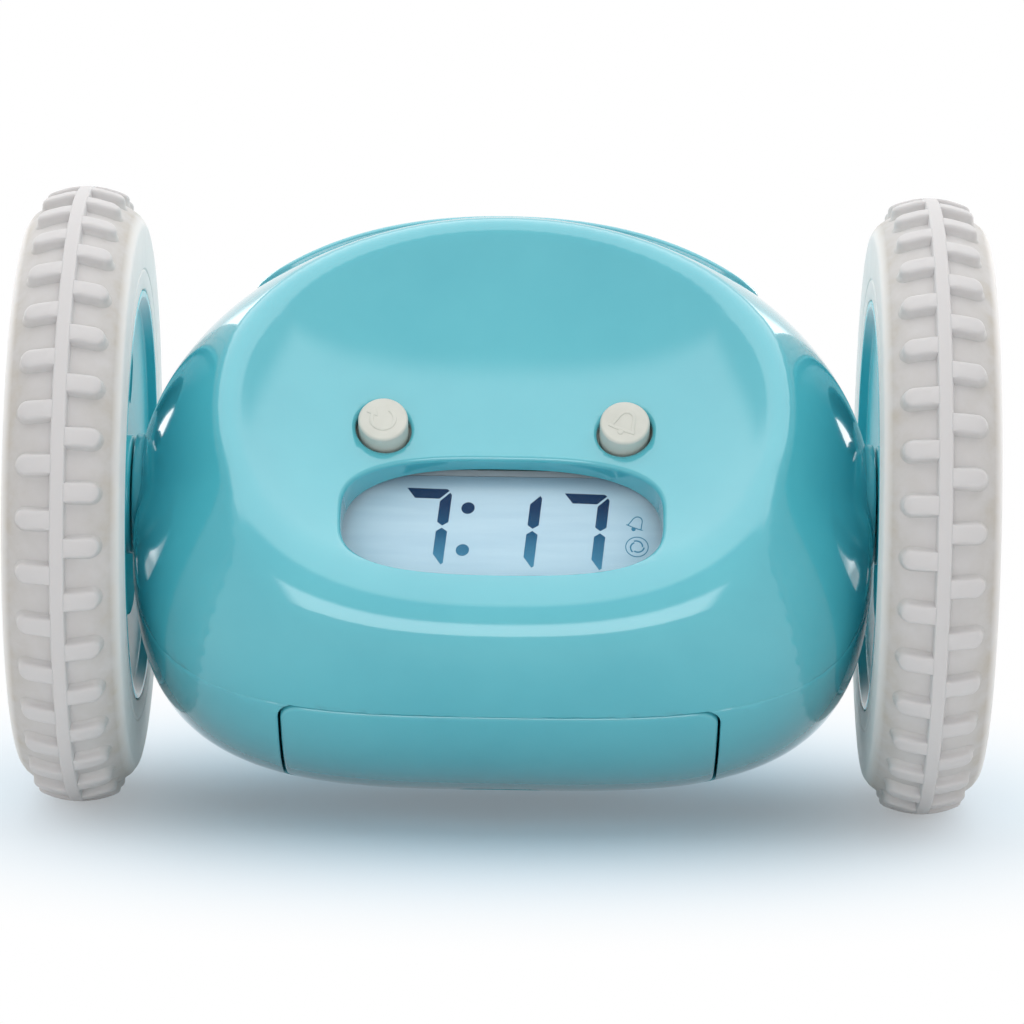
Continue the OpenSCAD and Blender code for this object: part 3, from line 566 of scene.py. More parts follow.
# Matrix that brings +Z to the seam's direction, over a point in the seam's plane
def seam_place(x, y):
    turn = Matrix([list(row) for row in SEAM_TURN]).to_4x4()
    return Matrix.Translation((0, 0, WHEEL_R / 1000)) @ turn @ Matrix.Translation((x / 1000, y / 1000, 0))


def well_wall(x, y):
    ring, foot = circle(4, 40), []
    for u, v in ring:
        p = np.array([x + u, y + v, 0.0])
        deep = way_out(
            lambda reach: outside_skin((SEAM_TURN @ (p - [0, 0, reach]))[None], 0)[0] > 0, (), 60.0)
        foot.append(SEAM_TURN @ (p - [0, 0, deep - 1]))
    top = [SEAM_TURN @ np.array([x + u, y + v, -0.02]) for u, v in ring]
    return lofted("well_wall", [foot, top])


def finish_lower(shell):
    for x, y in SCREWS:
        combine(shell, well_wall(x, y), "UNION")
    door = plate_outline((DOOR[0], -SEAM + 0.15, DOOR[2]), DOOR_CORNER, 0.3, 200)
    tools = [opening("door_hole", door, over_skin, 0.3, 9)]
    for x, y in SCREWS:
        tools.append(drill("well", WELL_R, -45, -6, seam_place(x, y)))
        tools.append(drill("shank_hole", SHANK_R, -5.9, 1, seam_place(x, y), 24))
    for i in (-1.5, -0.5, 0.5, 1.5):
        tools.append(opening("button_hole", circle(2.7, 40), over_spot(SET_ANGLE, SET_PITCH * i), 0.35, 5))
    for ring in range(3):
        for k in range(max(1, 6 * ring)):
            a = 2 * math.pi * k / max(1, 6 * ring)
            spot = (GRILLE_PITCH * ring * math.cos(a), GRILLE_PITCH * ring * math.sin(a))
            tools.append(opening("grille_hole", circle(0.75, 14), over_spot(GRILLE_ANGLE, *spot), 0.2, 4))
    cut_holes(shell, tools)


# Plate that follows the body's skin: softly turned edges, and an underside at one depth
def skin_plate(name, outline, edge, under, rise=lambda x: 0 * x):
    middle = np.array([0, (outline[:, 1].min() + outline[:, 1].max()) / 2])
    rings = []

    def upper_ring(line, drop):
        rings.append(over_skin(*line.T, rise(line[:, 0]) - drop))

    for s in np.linspace(0, 1, 14, endpoint=False):
        upper_ring(middle + (grown(outline, -edge) - middle) * s, 0)
    for t in np.radians([0, 18, 36, 54, 72, 90]):
        upper_ring(grown(outline, -edge * (1 - math.sin(t))), edge * (1 - math.cos(t)))
    rings.append(over_skin(*outline.T, -under))
    for s in np.linspace(1, 0, 10)[1:]:
        rings.append(over_skin(*(middle + (outline - middle) * s).T, -under))
    return lofted(name, rings)


# -------- materials
def linear(code, alpha=1.0):
    parts = [int(code[i:i + 2], 16) / 255 for i in (1, 3, 5)]
    return tuple(c / 12.92 if c <= 0.04045 else ((c + 0.055) / 1.055) ** 2.4 for c in parts) + (alpha,)


# Adds a shader node with its settings; an input is a value or the socket that feeds it
def add(tree, kind, inputs=None, **settings):
    node = tree.nodes.new("ShaderNode" + kind)
    for name, value in settings.items():
        setattr(node, name, value)
    for name, value in (inputs or {}).items():
        if isinstance(value, bpy.types.NodeSocket):
            tree.links.new(value, node.inputs[name])
        else:
            node.inputs[name].default_value = value
    return node


def fresh(name):
    material = bpy.data.materials.new(name)
    material.use_nodes = True
    material.node_tree.nodes.clear()
    return material, material.node_tree


def ramp(tree, factor, *stops):
    node = add(tree, "ValToRGB", {"Fac": factor})
    line = node.color_ramp
    while len(line.elements) < len(stops):
        line.elements.new(0.5)
    for element, (at, colour) in zip(line.elements, stops):
        element.position, element.color = at, linear(colour) if isinstance(colour, str) else colour
    return node.outputs["Color"]


def grey(value):
    return (value, value, value, 1)


def surface(tree, **inputs):
    names = {"ior": "IOR", "coat_ior": "Coat IOR", "specular_level": "Specular IOR Level"}
    inputs = {names.get(name, name.replace("_", " ").title()): value for name, value in inputs.items()}
    shader = add(tree, "BsdfPrincipled", inputs)
    add(tree, "OutputMaterial", {"Surface": shader.outputs["BSDF"]})


def place_in(tree):
    return add(tree, "TexCoord").outputs["Object"]


def parts_of(tree, vector):
    return add(tree, "SeparateXYZ", {"Vector": vector}).outputs


def stretched(tree, vector, scale):
    return add(tree, "Mapping", {"Vector": vector, "Scale": scale}).outputs["Vector"]


def noise(tree, vector, scale, detail, roughness=0.5):
    return add(tree, "TexNoise", {
        "Vector": vector, "Scale": scale, "Detail": detail, "Roughness": roughness}).outputs["Fac"]


def reckoned(tree, operation, *values):
    return add(tree, "Math", dict(enumerate(values)), operation=operation).outputs[0]


# A value's way between two limits, from start to end
def between(tree, value, low, high, start=0.0, end=1.0, way="LINEAR"):
    return add(tree, "MapRange", {
        "Value": value, "From Min": low, "From Max": high, "To Min": start, "To Max": end},
        interpolation_type=way).outputs[0]


def mixed(tree, share, first, second):
    return add(tree, "MixRGB", {"Fac": share, "Color1": first, "Color2": second}).outputs["Color"]


def two_shades(tree, pattern, shade, light, edge=0.3):
    return ramp(tree, pattern, (edge, shade), (1 - edge, light))


def gloss(tree, pattern, low, high):
    return ramp(tree, pattern, (0.3, grey(low)), (0.7, grey(high)))


def grain(tree, size_mm, detail=3.0, roughness=0.55):
    return noise(tree, place_in(tree), 1000 / size_mm, detail, roughness)


def bump(tree, height, strength, distance_mm):
    return add(tree, "Bump", {
        "Height": height, "Strength": strength, "Distance": distance_mm / 1000}).outputs["Normal"]


# A moulded plastic or rubber: colour between two shades, fine grain in gloss and relief
def moulded(name, shade, light, cloud_mm, rough, rough_spread, grain_mm, strength, depth_mm, **more):
    material, tree = fresh(name)
    clouds = grain(tree, cloud_mm, 4)
    fine = grain(tree, grain_mm, 3)
    colour = two_shades(tree, clouds, shade, light, 0.35)
    shine = gloss(tree, fine, rough - rough_spread, rough + rough_spread)
    surface(tree, base_color=colour, roughness=shine, normal=bump(tree, fine, strength, depth_mm), **more)
    return material


def make_materials():
    kit = {}
    # ABS, injection moulded in a polished tool: deep gloss, a trace of orange peel
    kit["shell_plastic"] = moulded(
        "polished_moulded_abs", "#4cacba", "#52b1be", 18, 0.13, 0.02, 1.6, 0.06, 0.02,
        coat_weight=0.8, coat_roughness=0.03, coat_ior=1.5, ior=1.5)
    # ABS, injection moulded and dyed deeper: the hubs and wheel covers
    kit["hub_plastic"] = moulded(
        "moulded_abs_hub", "#3fbfcd", "#47c5d2", 14, 0.24, 0.03, 0.8, 0.04, 0.02, ior=1.5)
    kit["tyre_rubber"] = tyre_rubber()
    # ABS, injection moulded in a fine-blasted tool: satin off-white button caps
    kit["cap_plastic"] = moulded(
        "satin_moulded_abs_cap", "#c0c1b9", "#c8c9c1", 5, 0.45, 0.05, 0.25, 0.15, 0.01, ior=1.5,
        specular_level=0.3)
    # Polystyrene, injection moulded: display frame, painted grey as the shade inside the display's opening
    # rather than its own near-white
    kit["frame_plastic"] = moulded(
        "polystyrene_frame_greyed_as_shade", "#98a6ae", "#a2afb7", 8, 0.4, 0.05, 0.4, 0.1, 0.01, ior=1.55)
    # ABS, injection moulded in a spark-eroded tool: matt black switch and speaker bodies
    kit["black_plastic"] = moulded(
        "spark_eroded_black_abs", "#2b2d30", "#35373b", 4, 0.6, 0.08, 0.2, 0.35, 0.015, ior=1.5)
    # ABS, injection moulded: battery box in the body's colour, less polished
    kit["box_plastic"] = moulded(
        "moulded_abs_box", "#2a7784", "#327f8c", 10, 0.38, 0.06, 0.5, 0.15, 0.015, ior=1.5)
    # Acetal, injection moulded: waxy, slightly translucent gears and gearbox plates
    kit["gear_plastic"] = moulded(
        "moulded_acetal", "#e6e5df", "#efeee9", 5, 0.36, 0.05, 0.4, 0.1, 0.01, ior=1.48)
    kit["display_acrylic"] = cast_acrylic()
    kit["display_glass"] = display_glass()
    kit["circuit_board"] = lacquered_board()
    # Steel, zinc plated and passivated: fine grain, slightly blue
    kit["steel"] = metal("zinc_plated_steel", "#b9bdc2", "#cdd0d4", 0.3, 0.06, 0.5)
    # Brass, turned: warm, fine lathe marks
    kit["brass"] = metal("turned_brass", "#b98f3c", "#d2aa56", 0.26, 0.05, 0.25)
    # Motor can: deep-drawn steel, nickel plated
    kit["motor_can"] = metal("nickel_plated_can", "#aeb1b5", "#c5c8cc", 0.27, 0.06, 0.9)
    kit["cell_can"] = printed_cell()
    # Paper, pressed and lacquered: speaker cone with its fibres
    kit["speaker_paper"] = moulded(
        "pressed_paper_cone", "#1b1b1e", "#27272a", 3, 0.78, 0.08, 0.3, 0.5, 0.04)
    return kit


# Silicone rubber, compression moulded: chalky grey-white. The tread is darker towards the foot of each lug
# and between the lugs, and paler at the lug tops as painted light from above; the flanks are paler.
def tyre_rubber():
    material, tree = fresh("moulded_silicone_rubber")
    parts = parts_of(tree, place_in(tree))
    high = reckoned(tree, "SUBTRACT", parts["Z"], WHEEL_R / 1000)
    square = reckoned(tree, "POWER", high, 2.0)
    radius2 = reckoned(tree, "MULTIPLY_ADD", parts["Y"], parts["Y"], square)
    radius = reckoned(tree, "POWER", radius2, 0.5)
    towards_lug_foot = between(tree, radius, 0.0395, 0.0432, 1.0, 0.0)
    clouds = grain(tree, 3.5, 5, 0.6)
    lug_foot_mottle = reckoned(tree, "MULTIPLY", towards_lug_foot, clouds)
    # painted light: the pale first stop lights the lug tops; the darker stops lie towards the lug feet
    tread = ramp(tree, lug_foot_mottle, (0.08, "#c4c2c2"), (0.4, "#b9b6b3"), (0.75, "#ada598"))
    side = reckoned(tree, "ABSOLUTE", parts["X"])
    off = reckoned(tree, "ABSOLUTE", reckoned(tree, "SUBTRACT", side, TYRE_MID / 1000))
    flank = between(tree, off, 0.0068, 0.0079)
    colour = mixed(tree, flank, tread, two_shades(tree, clouds, "#dddbd9", "#e3e1df"))
    fine = grain(tree, 0.35, 4)
    surface(tree, base_color=colour, roughness=gloss(tree, fine, 0.55, 0.68), ior=1.41,
            normal=bump(tree, fine, 0.12, 0.03), subsurface_weight=0.12,
            subsurface_radius=(0.004, 0.003, 0.0025), subsurface_scale=0.2,
            sheen_weight=0.15, sheen_roughness=0.5)
    return material


# Acrylic, cast and polished: clear, with a thin hard gloss
def cast_acrylic():
    material, tree = fresh("cast_acrylic_window")
    shine = gloss(tree, grain(tree, 9.0, 2), 0.03, 0.07)
    surface(tree, base_color=linear("#dfeef2"), roughness=shine, alpha=0.01, ior=1.49)
    return material


# Glass of the liquid crystal panel with its polariser film and foil reflector: pale
# blue-grey, faintly streaked along the way in which the film was drawn, darker at its top edge as painted
# shadow of the opening's wall
def display_glass():
    material, tree = fresh("polarised_panel_glass")
    where = place_in(tree)
    streaks = noise(tree, stretched(tree, where, (1.0, 14.0, 14.0)), 60.0, 4.0)
    film = two_shades(tree, streaks, "#b3cfdf", "#bdd7e5")
    # painted shadow: the panel's top edge darkens towards #6d8ea3 where the opening's wall shades it
    edge = between(tree, parts_of(tree, where)["Z"], 0.0465, 0.0492, 0.0, 0.8, "SMOOTHSTEP")
    colour = mixed(tree, edge, film, linear("#6d8ea3"))
    shine = gloss(tree, grain(tree, 0.3, 2), 0.3, 0.4)
    surface(tree, base_color=colour, roughness=shine, ior=1.52, specular_level=0.1)
    return material


# Liquid crystal segments: dark blue, paler towards the foot of the panel as painted reflection
def segment_blue(name, lift):
    material, tree = fresh(name)
    # painted reflection: the segments grow paler lower down the panel
    up = between(tree, parts_of(tree, place_in(tree))["Z"], 0.038, 0.0475)
    shade = reckoned(tree, "MULTIPLY_ADD", grain(tree, 4.0, 3), 0.2, up)
    shade = reckoned(tree, "SUBTRACT", shade, lift)
    colour = ramp(tree, shade, (0.15, "#4688a8"), (0.55, "#185075"), (0.85, "#0a3056"))
    surface(tree, base_color=colour, roughness=0.4, ior=1.52, specular_level=0.05)
    return material


# Glass-fibre laminate, lacquered with solder resist: green, with darker lines between its fields
def lacquered_board():
    material, tree = fresh("lacquered_glass_fibre_board")
    fields = add(tree, "TexBrick", {
        "Vector": place_in(tree), "Color1": linear("#2a6542"), "Color2": linear("#2f6e49"),
        "Mortar": linear("#1f5236"), "Scale": 240.0, "Mortar Size": 0.03}).outputs["Color"]
    fine = grain(tree, 0.5, 3)
    surface(tree, base_color=fields, roughness=gloss(tree, fine, 0.3, 0.42),
            normal=bump(tree, fine, 0.2, 0.02), ior=1.55)
    return material


# A metal whose grain runs across the axle's direction
def metal(name, shade, light, rough, spread, grain_mm):
    material, tree = fresh(name)
    fine = noise(tree, stretched(tree, place_in(tree), (6.0, 1.0, 1.0)), 1000 / grain_mm, 3.0)
    surface(tree, base_color=two_shades(tree, fine, shade, light), metallic=1.0,
            roughness=gloss(tree, fine, rough - spread, rough + spread), normal=bump(tree, fine, 0.1, 0.01))
    return material


# Steel can in a printed plastic sleeve: dark green between silver ends, satin
def printed_cell():
    material, tree = fresh("printed_cell_sleeve")
    across = between(tree, parts_of(tree, place_in(tree))["X"], -0.026, 0.026)
    shine = gloss(tree, grain(tree, 6.0, 3), 0.25, 0.34)
    silver, green = "#b9bcc0", "#2f5d50"
    colour = ramp(tree, across, (0.0, silver), (0.17, silver), (0.18, green), (0.82, green), (0.83, silver))
    surface(tree, base_color=colour, roughness=shine, metallic=0.4)
    return material


def dress(piece, material):
    piece.data.materials.clear()
    piece.data.materials.append(material)


# -------- wheels
def tyre_outline():
    def flank(x, groove):
        return [(BEAD_R, x, 0.3), (31.6, x, 0.1), (31.85, x + groove, 0.1), (32.1, x, 0.1),
                (SHOULDER_R, x, 2.0)]

    line = flank(TYRE_IN, 0.18)
    for g in range(-40, 41, 4):
        a = math.radians(g)
        r, x = CROWN_AT + CROWN_R * math.cos(a), TYRE_MID + CROWN_R * math.sin(a)
        if abs(x - TYRE_MID) > 1.5:
            line.append((r, x, 0))
        elif g == 0:
            line += [(RIB_FOOT, TYRE_MID - 1.1, 0.35), (WHEEL_R, TYRE_MID - 0.95, 0.32),
                     (WHEEL_R, TYRE_MID + 0.95, 0.32), (RIB_FOOT, TYRE_MID + 1.1, 0.35)]
    line += flank(TYRE_OUT, -0.18)[::-1]
    return with_arcs(line, 4)


# One lug on the top of the wheel: square at the rib, round at its outer end, its top
# following the tread's crown
def lug():
    start, reach, half, high = 0.7, 5.65, 1.35, 1.4
    outline = [(start, -half), (start + 1.6, -half), (reach - half, -half)]
    for a in np.radians([22, 45, 67, 90, 113, 135, 158]):
        outline.append((reach - half + half * math.sin(a), -half * math.cos(a)))
    outline += [(reach - half, half), (start + 1.6, half), (start, half)]
    outline = np.array(outline)

    def ring(line, part, drop):
        floor = CROWN_AT + np.sqrt(CROWN_R ** 2 - line[:, 0] ** 2)
        top = CROWN_AT + np.sqrt((CROWN_R + high) ** 2 - line[:, 0] ** 2)
        radius = floor + (top - floor) * part - drop
        a = line[:, 1] / radius
        return np.stack([TYRE_MID + line[:, 0], radius * np.sin(a), radius * np.cos(a)], -1)

    def grown_ring(amount, part, drop):
        return ring(grown(outline, amount), part, drop)

    middle = np.array([2.9, 0])
    rings = [grown_ring(0.45, 0, 0.5), grown_ring(0.3, 0, -0.06), grown_ring(0.08, 0, -0.25),
             ring(outline, 0.45, 0), grown_ring(-0.02, 1, 0.4), grown_ring(-0.14, 1, 0.12),
             grown_ring(-0.42, 1, 0.0), ring(middle + (outline - middle) * 0.35, 1, 0.0)]
    return lofted("lug", rings)


def make_tyre(side, name):
    tyre = spun(name, tyre_outline(), on_axle(1), 216)
    first = lug()
    centre = Matrix.Translation((0, 0, WHEEL_R / 1000))
    there, back = (Matrix.Translation((way * TYRE_MID / 1000, 0, 0)) for way in (1, -1))
    lugs = []
    for row in (-1, 1):
        mirror = there @ Matrix.Diagonal((row, 1, 1, 1)) @ back
        for k in range(36):
            turn = Matrix.Rotation(math.radians(10 * (k + (row + 1) / 4)), 4, "X")
            lugs.append(copied(first, centre @ turn @ centre.inverted() @ mirror))
    bpy.data.objects.remove(first)
    tyre = joined(name, tyre, *lugs)
    if side < 0:
        bring(tyre, Matrix.Diagonal((-1, 1, 1, 1)))
    return smooth_shaded(tyre, 40)


# Swirl slot, traced from its inner end outwards: inside one circle, clear of a second one
# that keeps it off the sleeve
def crescent():
    at, wide_r, bite_at, bite_square, bite_turn = 12, 9.5, 8.515, 72.5, math.radians(49.76)
    low, high = [], []
    for r in 9.6 + 11.89 * np.sin(np.linspace(0, math.pi / 2, 40)):
        wide = math.acos(np.clip((r * r + at ** 2 - wide_r ** 2) / (2 * at * r), -1, 1))
        bite = math.acos(np.clip((r * r + bite_square - wide_r ** 2) / (2 * bite_at * r), -1, 1)) - bite_turn
        low.append((r, max(-wide, bite)))
        high.append((r, wide))
    line = np.array([(r * math.cos(a), r * math.sin(a)) for r, a in low + high[::-1]])
    return even(line, 110)


# Wheel part turned from an outline, with its three slots cut between two levels
def slotted(side, name, corners, low, high):
    part = spun(name, with_arcs(corners), on_axle(side), 144)
    tools = []
    for k in range(3):
        line = turned_by(crescent(), 70 + 120 * k)
        # on the axle's matrix local X is up and local Y is back
        tools.append(raised("slot", line[:, ::-1], low, high, on_axle(side)))
    combine(part, joined("slots", *tools), "DIFFERENCE")
    return smooth_shaded(part)


HUB = [(1.55, 52.4, 0.1), (8.4, 52.4, 0.45), (8.4, 55.4, 0.8), (27.2, 52.6, 0.5), (28.0, 51.3, 0.3),
       (28.9, 51.3, 0.25), (28.9, 66.5, 0.25), (27.2, 66.5, 0.25), (27.2, 54.3, 0.5), (8.4, 57.1, 0.3),
       (5.0, 57.1, 0.4), (5.0, 64.2, 0.2), (1.55, 64.2, 0.1)]
COVER = [(0, 64.3, 0), (27.1, 64.3, 0.2), (27.1, 65.3, 0.3), (26.1, 65.9, 0.7), (9.4, 66.5, 0.6),
         (8.6, 67.1, 0.4), (0, 67.3, 0)]


# -------- buttons and door
def make_cap(name, radius, foot, top, flange, place, steps=64):
    outline = with_arcs([
        (0, foot, 0), (flange, foot, 0), (flange, foot + 0.8, 0.1), (radius, foot + 0.8, 0.1),
        (radius, top - 0.02, 0.42), (radius * 0.5, top, 0), (0, top, 0)])
    return spun(name, outline, place, steps)


def ribbon(points, width):
    points = np.asarray(points, float)
    ahead = np.gradient(points, axis=0)
    ahead /= np.linalg.norm(ahead, axis=1)[:, None]
    across = np.stack([-ahead[:, 1], ahead[:, 0]], -1) * width / 2
    return np.concatenate([points - across, (points + across)[::-1]])


# A bell that leans, as two ribbons: its dome and its foot
def bell(size, count, width, middle=(0, 0)):
    dome = [(-0.62, -0.42), (-0.5, 0.0), (-0.44, 0.32), (-0.28, 0.6), (0, 0.7), (0.28, 0.6),
            (0.44, 0.32), (0.5, 0.0), (0.62, -0.42)]
    foot = [(-0.78, -0.46), (-0.3, -0.5), (0.3, -0.5), (0.78, -0.46)]
    return [turned_by(ribbon(stepped(np.array(line) * size, count), width), -22, middle)
            for line in (dome, foot)]


# Flat shapes raised between two levels and made one piece
def embossed(name, outlines, low, high, place):
    return joined(name, *[raised("relief", outline, low, high, place) for outline in outlines])


def make_eye(side, name):
    place = facing(FACE_ANGLE, side * EYE_X, EYE_Y)
    cap = make_cap(name, EYE_R, EYE_FOOT, EYE_TOP - 0.1, 4.2, place)
    if side > 0:
        outlines = bell(2.5, 22, 0.5) + [circle(0.42, 18, (-0.62, -1.55))]
    else:
        swirl = [(1.62 * math.cos(a), 1.62 * math.sin(a)) for a in np.radians(np.linspace(150, 420, 34))]
        outlines = [ribbon(swirl, 0.55), np.array([(-0.75, 0.35), (-2.35, 1.05), (-0.95, 1.9)])]
    relief = embossed("relief", outlines, EYE_TOP - 0.4, EYE_TOP, place)
    rounded_edges(relief, 0.09, 2, 40)
    return smooth_shaded(joined(name, cap, relief), 40)


def make_door():
    outline = plate_outline(DOOR, DOOR_CORNER, 0, 240, notch=5)
    return smooth_shaded(skin_plate("battery_door_panel", outline, 0.55, 1.6), 40)


# The bar stands proud at its ends and is flush in its middle
def make_snooze():
    outline = plate_outline(SNOOZE, SNOOZE_CORNER, 0, 220)
    bar = skin_plate("snooze_bar_cap", outline, 0.6, 3.2, lambda x: 0.1 + 0.8 * eased(np.abs(x) / 30))
    return smooth_shaded(bar, 40)


def make_screws():
    outline = [(0, 7), (0, -8), (1.2, -7.95), (2.1, -7.6), (2.5, -7), (2.5, -6), (1.15, -6),
               (1.15, 6.4), (0.6, 7)]
    screws = []
    for x, y in SCREWS:
        screw = spun("screw", outline, seam_place(x, y), 32)
        arms = []
        for w, h in ((1.3, 0.25), (0.25, 1.3)):
            arms.append(raised("arm", [(-w, -h), (w, -h), (w, h), (-w, h)], -9, -7))
        combine(arms[0], arms[1], "UNION")
        arms[0].data.transform(seam_place(x, y))
        combine(screw, arms[0], "DIFFERENCE")
        screws.append(screw)
    return smooth_shaded(joined("cross_head_screws", *screws), 30)


# -------- display
# Segments of a digit, X to the right and Y down from its upper left corner
def segment_shapes():
    w, h, s = 6.3, 12.0, 1.55
    return {
        "top": [(0.0, 0), (w - 0.75, 0), (w - 0.4, 0.25), (w - s - 0.1, s), (1.25, s)],
        "high": [(w - 0.28, 0.55), (w, 0.95), (w, h / 2 - 0.75), (w - 0.8, h / 2 - 0.18),
                 (w - s, h / 2 - 0.75), (w - s, s + 0.4)],
        "low": [(w - 0.8, h / 2 + 0.18), (w, h / 2 + 0.75), (w, h - 0.25), (w - 0.3, h),
                (w - s, h - s - 0.1), (w - s, h / 2 + 0.75)]}


# Digits stand on a slant, and the whole panel is turned a little
def lay_panel(points, left):
    slant, tops, turn, (mid_x, mid_y) = 0.07, -6.7, -1.4, (0.6, -12.7)
    p = np.asarray(points, float)
    x = left + p[:, 0] + slant * (6 - p[:, 1])
    y = tops - p[:, 1]
    return turned_by(np.stack([x - mid_x, y - mid_y], -1), turn, (mid_x, mid_y))[::-1]


def on_panel(name, outlines):
    return embossed(name, outlines, PANEL_TOP - 0.02, PANEL_TOP + 0.03, facing(FACE_ANGLE))


def make_segments():
    shapes, outlines = segment_shapes(), []
    for left, lit in ((-13.85, "top high low"), (-1.35, "high low"), (8.0, "top high low")):
        outlines += [lay_panel(shapes[name], left) for name in lit.split()]
    outlines += [lay_panel(circle(0.92, 28, (-5.1, down)), 0.0) for down in (2.9, 9.6)]
    return on_panel("lit_segments", outlines)


def make_icons():
    x, y, r = 18.6, -15.25, 1.55
    outlines = bell(1.55, 20, 0.14, (18.5, -11.5)) + [circle(0.3, 16, (18.1, -12.45))]
    ring = [(x + r * math.cos(a), y + r * math.sin(a)) for a in np.radians(np.linspace(0, 360, 49))]
    outlines.append(ribbon(ring, 0.13))
    for k in range(3):
        swirl = [(x + (0.75 + 0.25 * t) * math.cos(a), y + (0.75 + 0.25 * t) * math.sin(a))
                 for t, a in zip(np.linspace(0, 1, 12), np.radians(np.linspace(0, 115, 12) + 120 * k))]
        outlines.append(ribbon(swirl, 0.2))
    return on_panel("display_icons", outlines)


# -------- battery springs
# Conical coil from its wide foot on the bay's end to the tip on the cell
def coil_points(flip, y, z):
    points = []
    for t in np.linspace(0, 1, 120):
        a = 2 * math.pi * 5.5 * t
        r = 3.9 - 1.7 * t
        points.append((flip * (-BAY_HALF + 0.3 + 4.4 * t), y + r * math.cos(a), z + r * math.sin(a)))
    return points


def make_springs():
    place = facing(BAY_ANGLE)
    coils = []
    for row in (0, 1):
        for layer, level in enumerate((CELL_IN, CELL_OUT)):
            points = coil_points(-1 if row == layer else 1, (row - 0.5) * CELL_PITCH, level)
            curve = bpy.data.curves.new("coil", "CURVE")
            curve.dimensions, curve.bevel_depth, curve.bevel_resolution = "3D", 0.0003, 2
            curve.use_fill_caps = True
            spline = curve.splines.new("POLY")
            spline.points.add(len(points) - 1)
            for point, (x, y, z) in zip(spline.points, points):
                point.co = (*(place @ Vector((x / 1000, y / 1000, z / 1000))), 1)
            coil = bpy.data.objects.new("coil", curve)
            bpy.context.collection.objects.link(coil)
            pick(coil)
            bpy.ops.object.convert(target="MESH")
            coils.append(bpy.context.object)
    piece = joined("contact_springs", *coils)
    close_up(piece)
    return smooth_shaded(piece, 60)


# -------- light and floor
# Softbox that fades over a share of its size towards its edges, as the cloth of a real one does
def lamp(name, size, place, target, power, fade):
    light = bpy.data.lights.new(name, "AREA")
    light.shape, light.size, light.size_y = "RECTANGLE", size[0], size[1]
    light.energy = power
    light.use_nodes = True
    tree = light.node_tree
    tree.nodes.clear()
    across = add(tree, "NewGeometry").outputs["Parametric"]
    centred = add(tree, "Mapping", {
        "Vector": across, "Location": (-0.5, -0.5, 0)}).outputs["Vector"]
    outward = add(tree, "VectorMath", {0: centred}, operation="ABSOLUTE").outputs["Vector"]
    parts = parts_of(tree, outward)
    edge = reckoned(tree, "MAXIMUM", parts["X"], parts["Y"])
    glow = between(tree, edge, 0.5, 0.5 - fade, way="SMOOTHSTEP")
    cloth = add(tree, "Emission", {"Color": (1, 1, 1, 1), "Strength": glow})
    add(tree, "OutputLight", {"Surface": cloth.outputs[0]})
    piece = bpy.data.objects.new(name, light)
    bpy.context.collection.objects.link(piece)
    piece.location = place
    piece.rotation_euler = (Vector(target) - Vector(place)).to_track_quat("-Z", "Y").to_euler()
    piece.visible_camera = False


# 1 where the camera sees a surface straight, in a gloss or through a clear piece
def seen_directly(tree):
    path = add(tree, "LightPath").outputs
    seen = reckoned(tree, "MAXIMUM", path["Is Camera Ray"], path["Is Glossy Ray"])
    return reckoned(tree, "MAXIMUM", seen, path["Is Transmission Ray"])


# White to the camera, dimmer as a source of light
def set_world():
    world = bpy.data.worlds.new("studio")
    bpy.context.scene.world = world
    world.use_nodes = True
    tree = world.node_tree
    tree.nodes.clear()
    strength = between(tree, seen_directly(tree), 0.0, 1.0, 0.55, 1.0)
    glow = add(tree, "Background", {"Color": (1, 1, 1, 1), "Strength": strength})
    add(tree, "OutputWorld", {"Surface": glow.outputs[0]})


# Floor that fades to white away from the clock; near it the floor is left darker and bluer, a painted shadow
# round the clock's real shadow
def lay_floor():
    bpy.ops.mesh.primitive_plane_add(size=6)
    floor = bpy.context.object
    floor.name = "floor"
    material, tree = fresh("pale_floor")
    seen = seen_directly(tree)
    spread = stretched(tree, place_in(tree), (9.0, 13.0, 0))
    away = add(tree, "VectorMath", {0: spread}, operation="LENGTH").outputs["Value"]
    # painted shadow: near the clock the floor gets little lift and a bluer camera colour, so it reads darker
    # there even where lamps reach
    clear = between(tree, away, 0.25, 1.15, 0.15, 1.0, "SMOOTHSTEP")
    lift = reckoned(tree, "MULTIPLY", seen, clear)
    matt = add(tree, "BsdfDiffuse", {
        "Color": mixed(tree, seen, linear("#e6e7e8"), linear("#c2d9e8"))})
    glow = add(tree, "Emission", {"Color": linear("#ffffff"), "Strength": 1.0})
    mix = add(tree, "MixShader", {0: lift, 1: matt.outputs[0], 2: glow.outputs[0]})
    add(tree, "OutputMaterial", {"Surface": mix.outputs[0]})
    dress(floor, material)


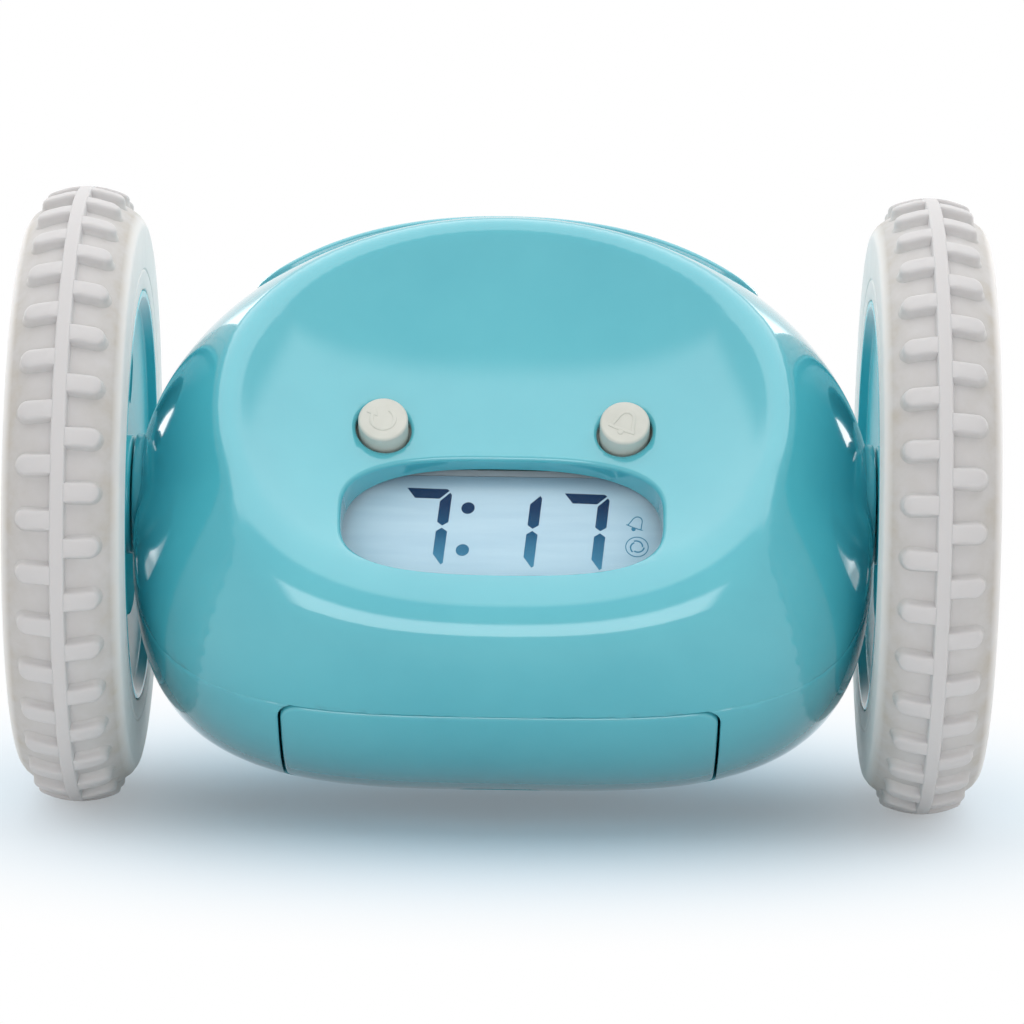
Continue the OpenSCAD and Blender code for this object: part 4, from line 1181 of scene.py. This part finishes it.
def set_studio():
    set_world()
    lay_floor()
    lamp("overhead_softbox", (1.5, 1.4), (0, 0.13, 0.75), (0, 0.13, 0), 8.5, 0.1)
    lamp("front_fill", (1.2, 0.7), (0, -1.2, 0.2), (0, 0, 0.05), 7.0, 0.2)
    for side in (1, -1):
        lamp("back_softbox", (1.1, 0.8), (0.9 * side, 0.9, 0.35), (0, 0, 0.04), 7.0, 0.2)


# -------- the clock
set_camera()
kit = make_materials()
for part in frame["record"]["subparts"]:
    dress(frame["nodes"][part["node"]], kit[part["material_slot"]])


def stands_for(piece, slot, body, *nodes):
    dress(piece, kit[slot])
    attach(piece, body)
    if nodes:
        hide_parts(*nodes)


upper, lower = make_shells()
finish_upper(upper)
finish_lower(lower)
for shell, node in ((upper, "upper_shell"), (lower, "lower_shell")):
    close_up(shell)
    smooth_shaded(shell, 32)
    stands_for(shell, "shell_plastic", "body", node)

stands_for(make_door(), "shell_plastic", "battery_door", "battery_door")
stands_for(make_snooze(), "shell_plastic", "snooze_bar", "snooze_bar")
for side, node in ((-1, "wheels_button"), (1, "alarm_button")):
    stands_for(make_eye(side, node + "_cap"), "cap_plastic", node, node)
for i, node in enumerate(("time_button", "alarm_set_button", "hour_button", "minute_button")):
    place = facing(SET_ANGLE, SET_PITCH * (i - 1.5))
    cap = make_cap(node + "_cap", 2.4, 37.5, 41.75, 3.2, place, 40)
    stands_for(smooth_shaded(cap, 40), "cap_plastic", node, node)
stands_for(make_screws(), "steel", "body", "shell_screws")
stands_for(make_springs(), "steel", "body", "battery_springs")
for side, word in ((1, "right"), (-1, "left")):
    stands_for(make_tyre(side, word + "_tread"), "tyre_rubber", word + "_wheel", word + "_tyre")
    dish = slotted(side, word + "_hub_dish", HUB, 51, 59)
    cover = slotted(side, word + "_hub_cover", COVER, 63, 69)
    stands_for(dish, "hub_plastic", word + "_wheel", word + "_hub")
    stands_for(cover, "hub_plastic", word + "_wheel", word + "_wheel_cover")
for piece, name, lift in (
        (make_segments(), "liquid_crystal_segment", 0.0), (make_icons(), "liquid_crystal_sign", 0.6)):
    stands_for(piece, "display_glass", "body")
    dress(piece, segment_blue(name, lift))

set_studio()
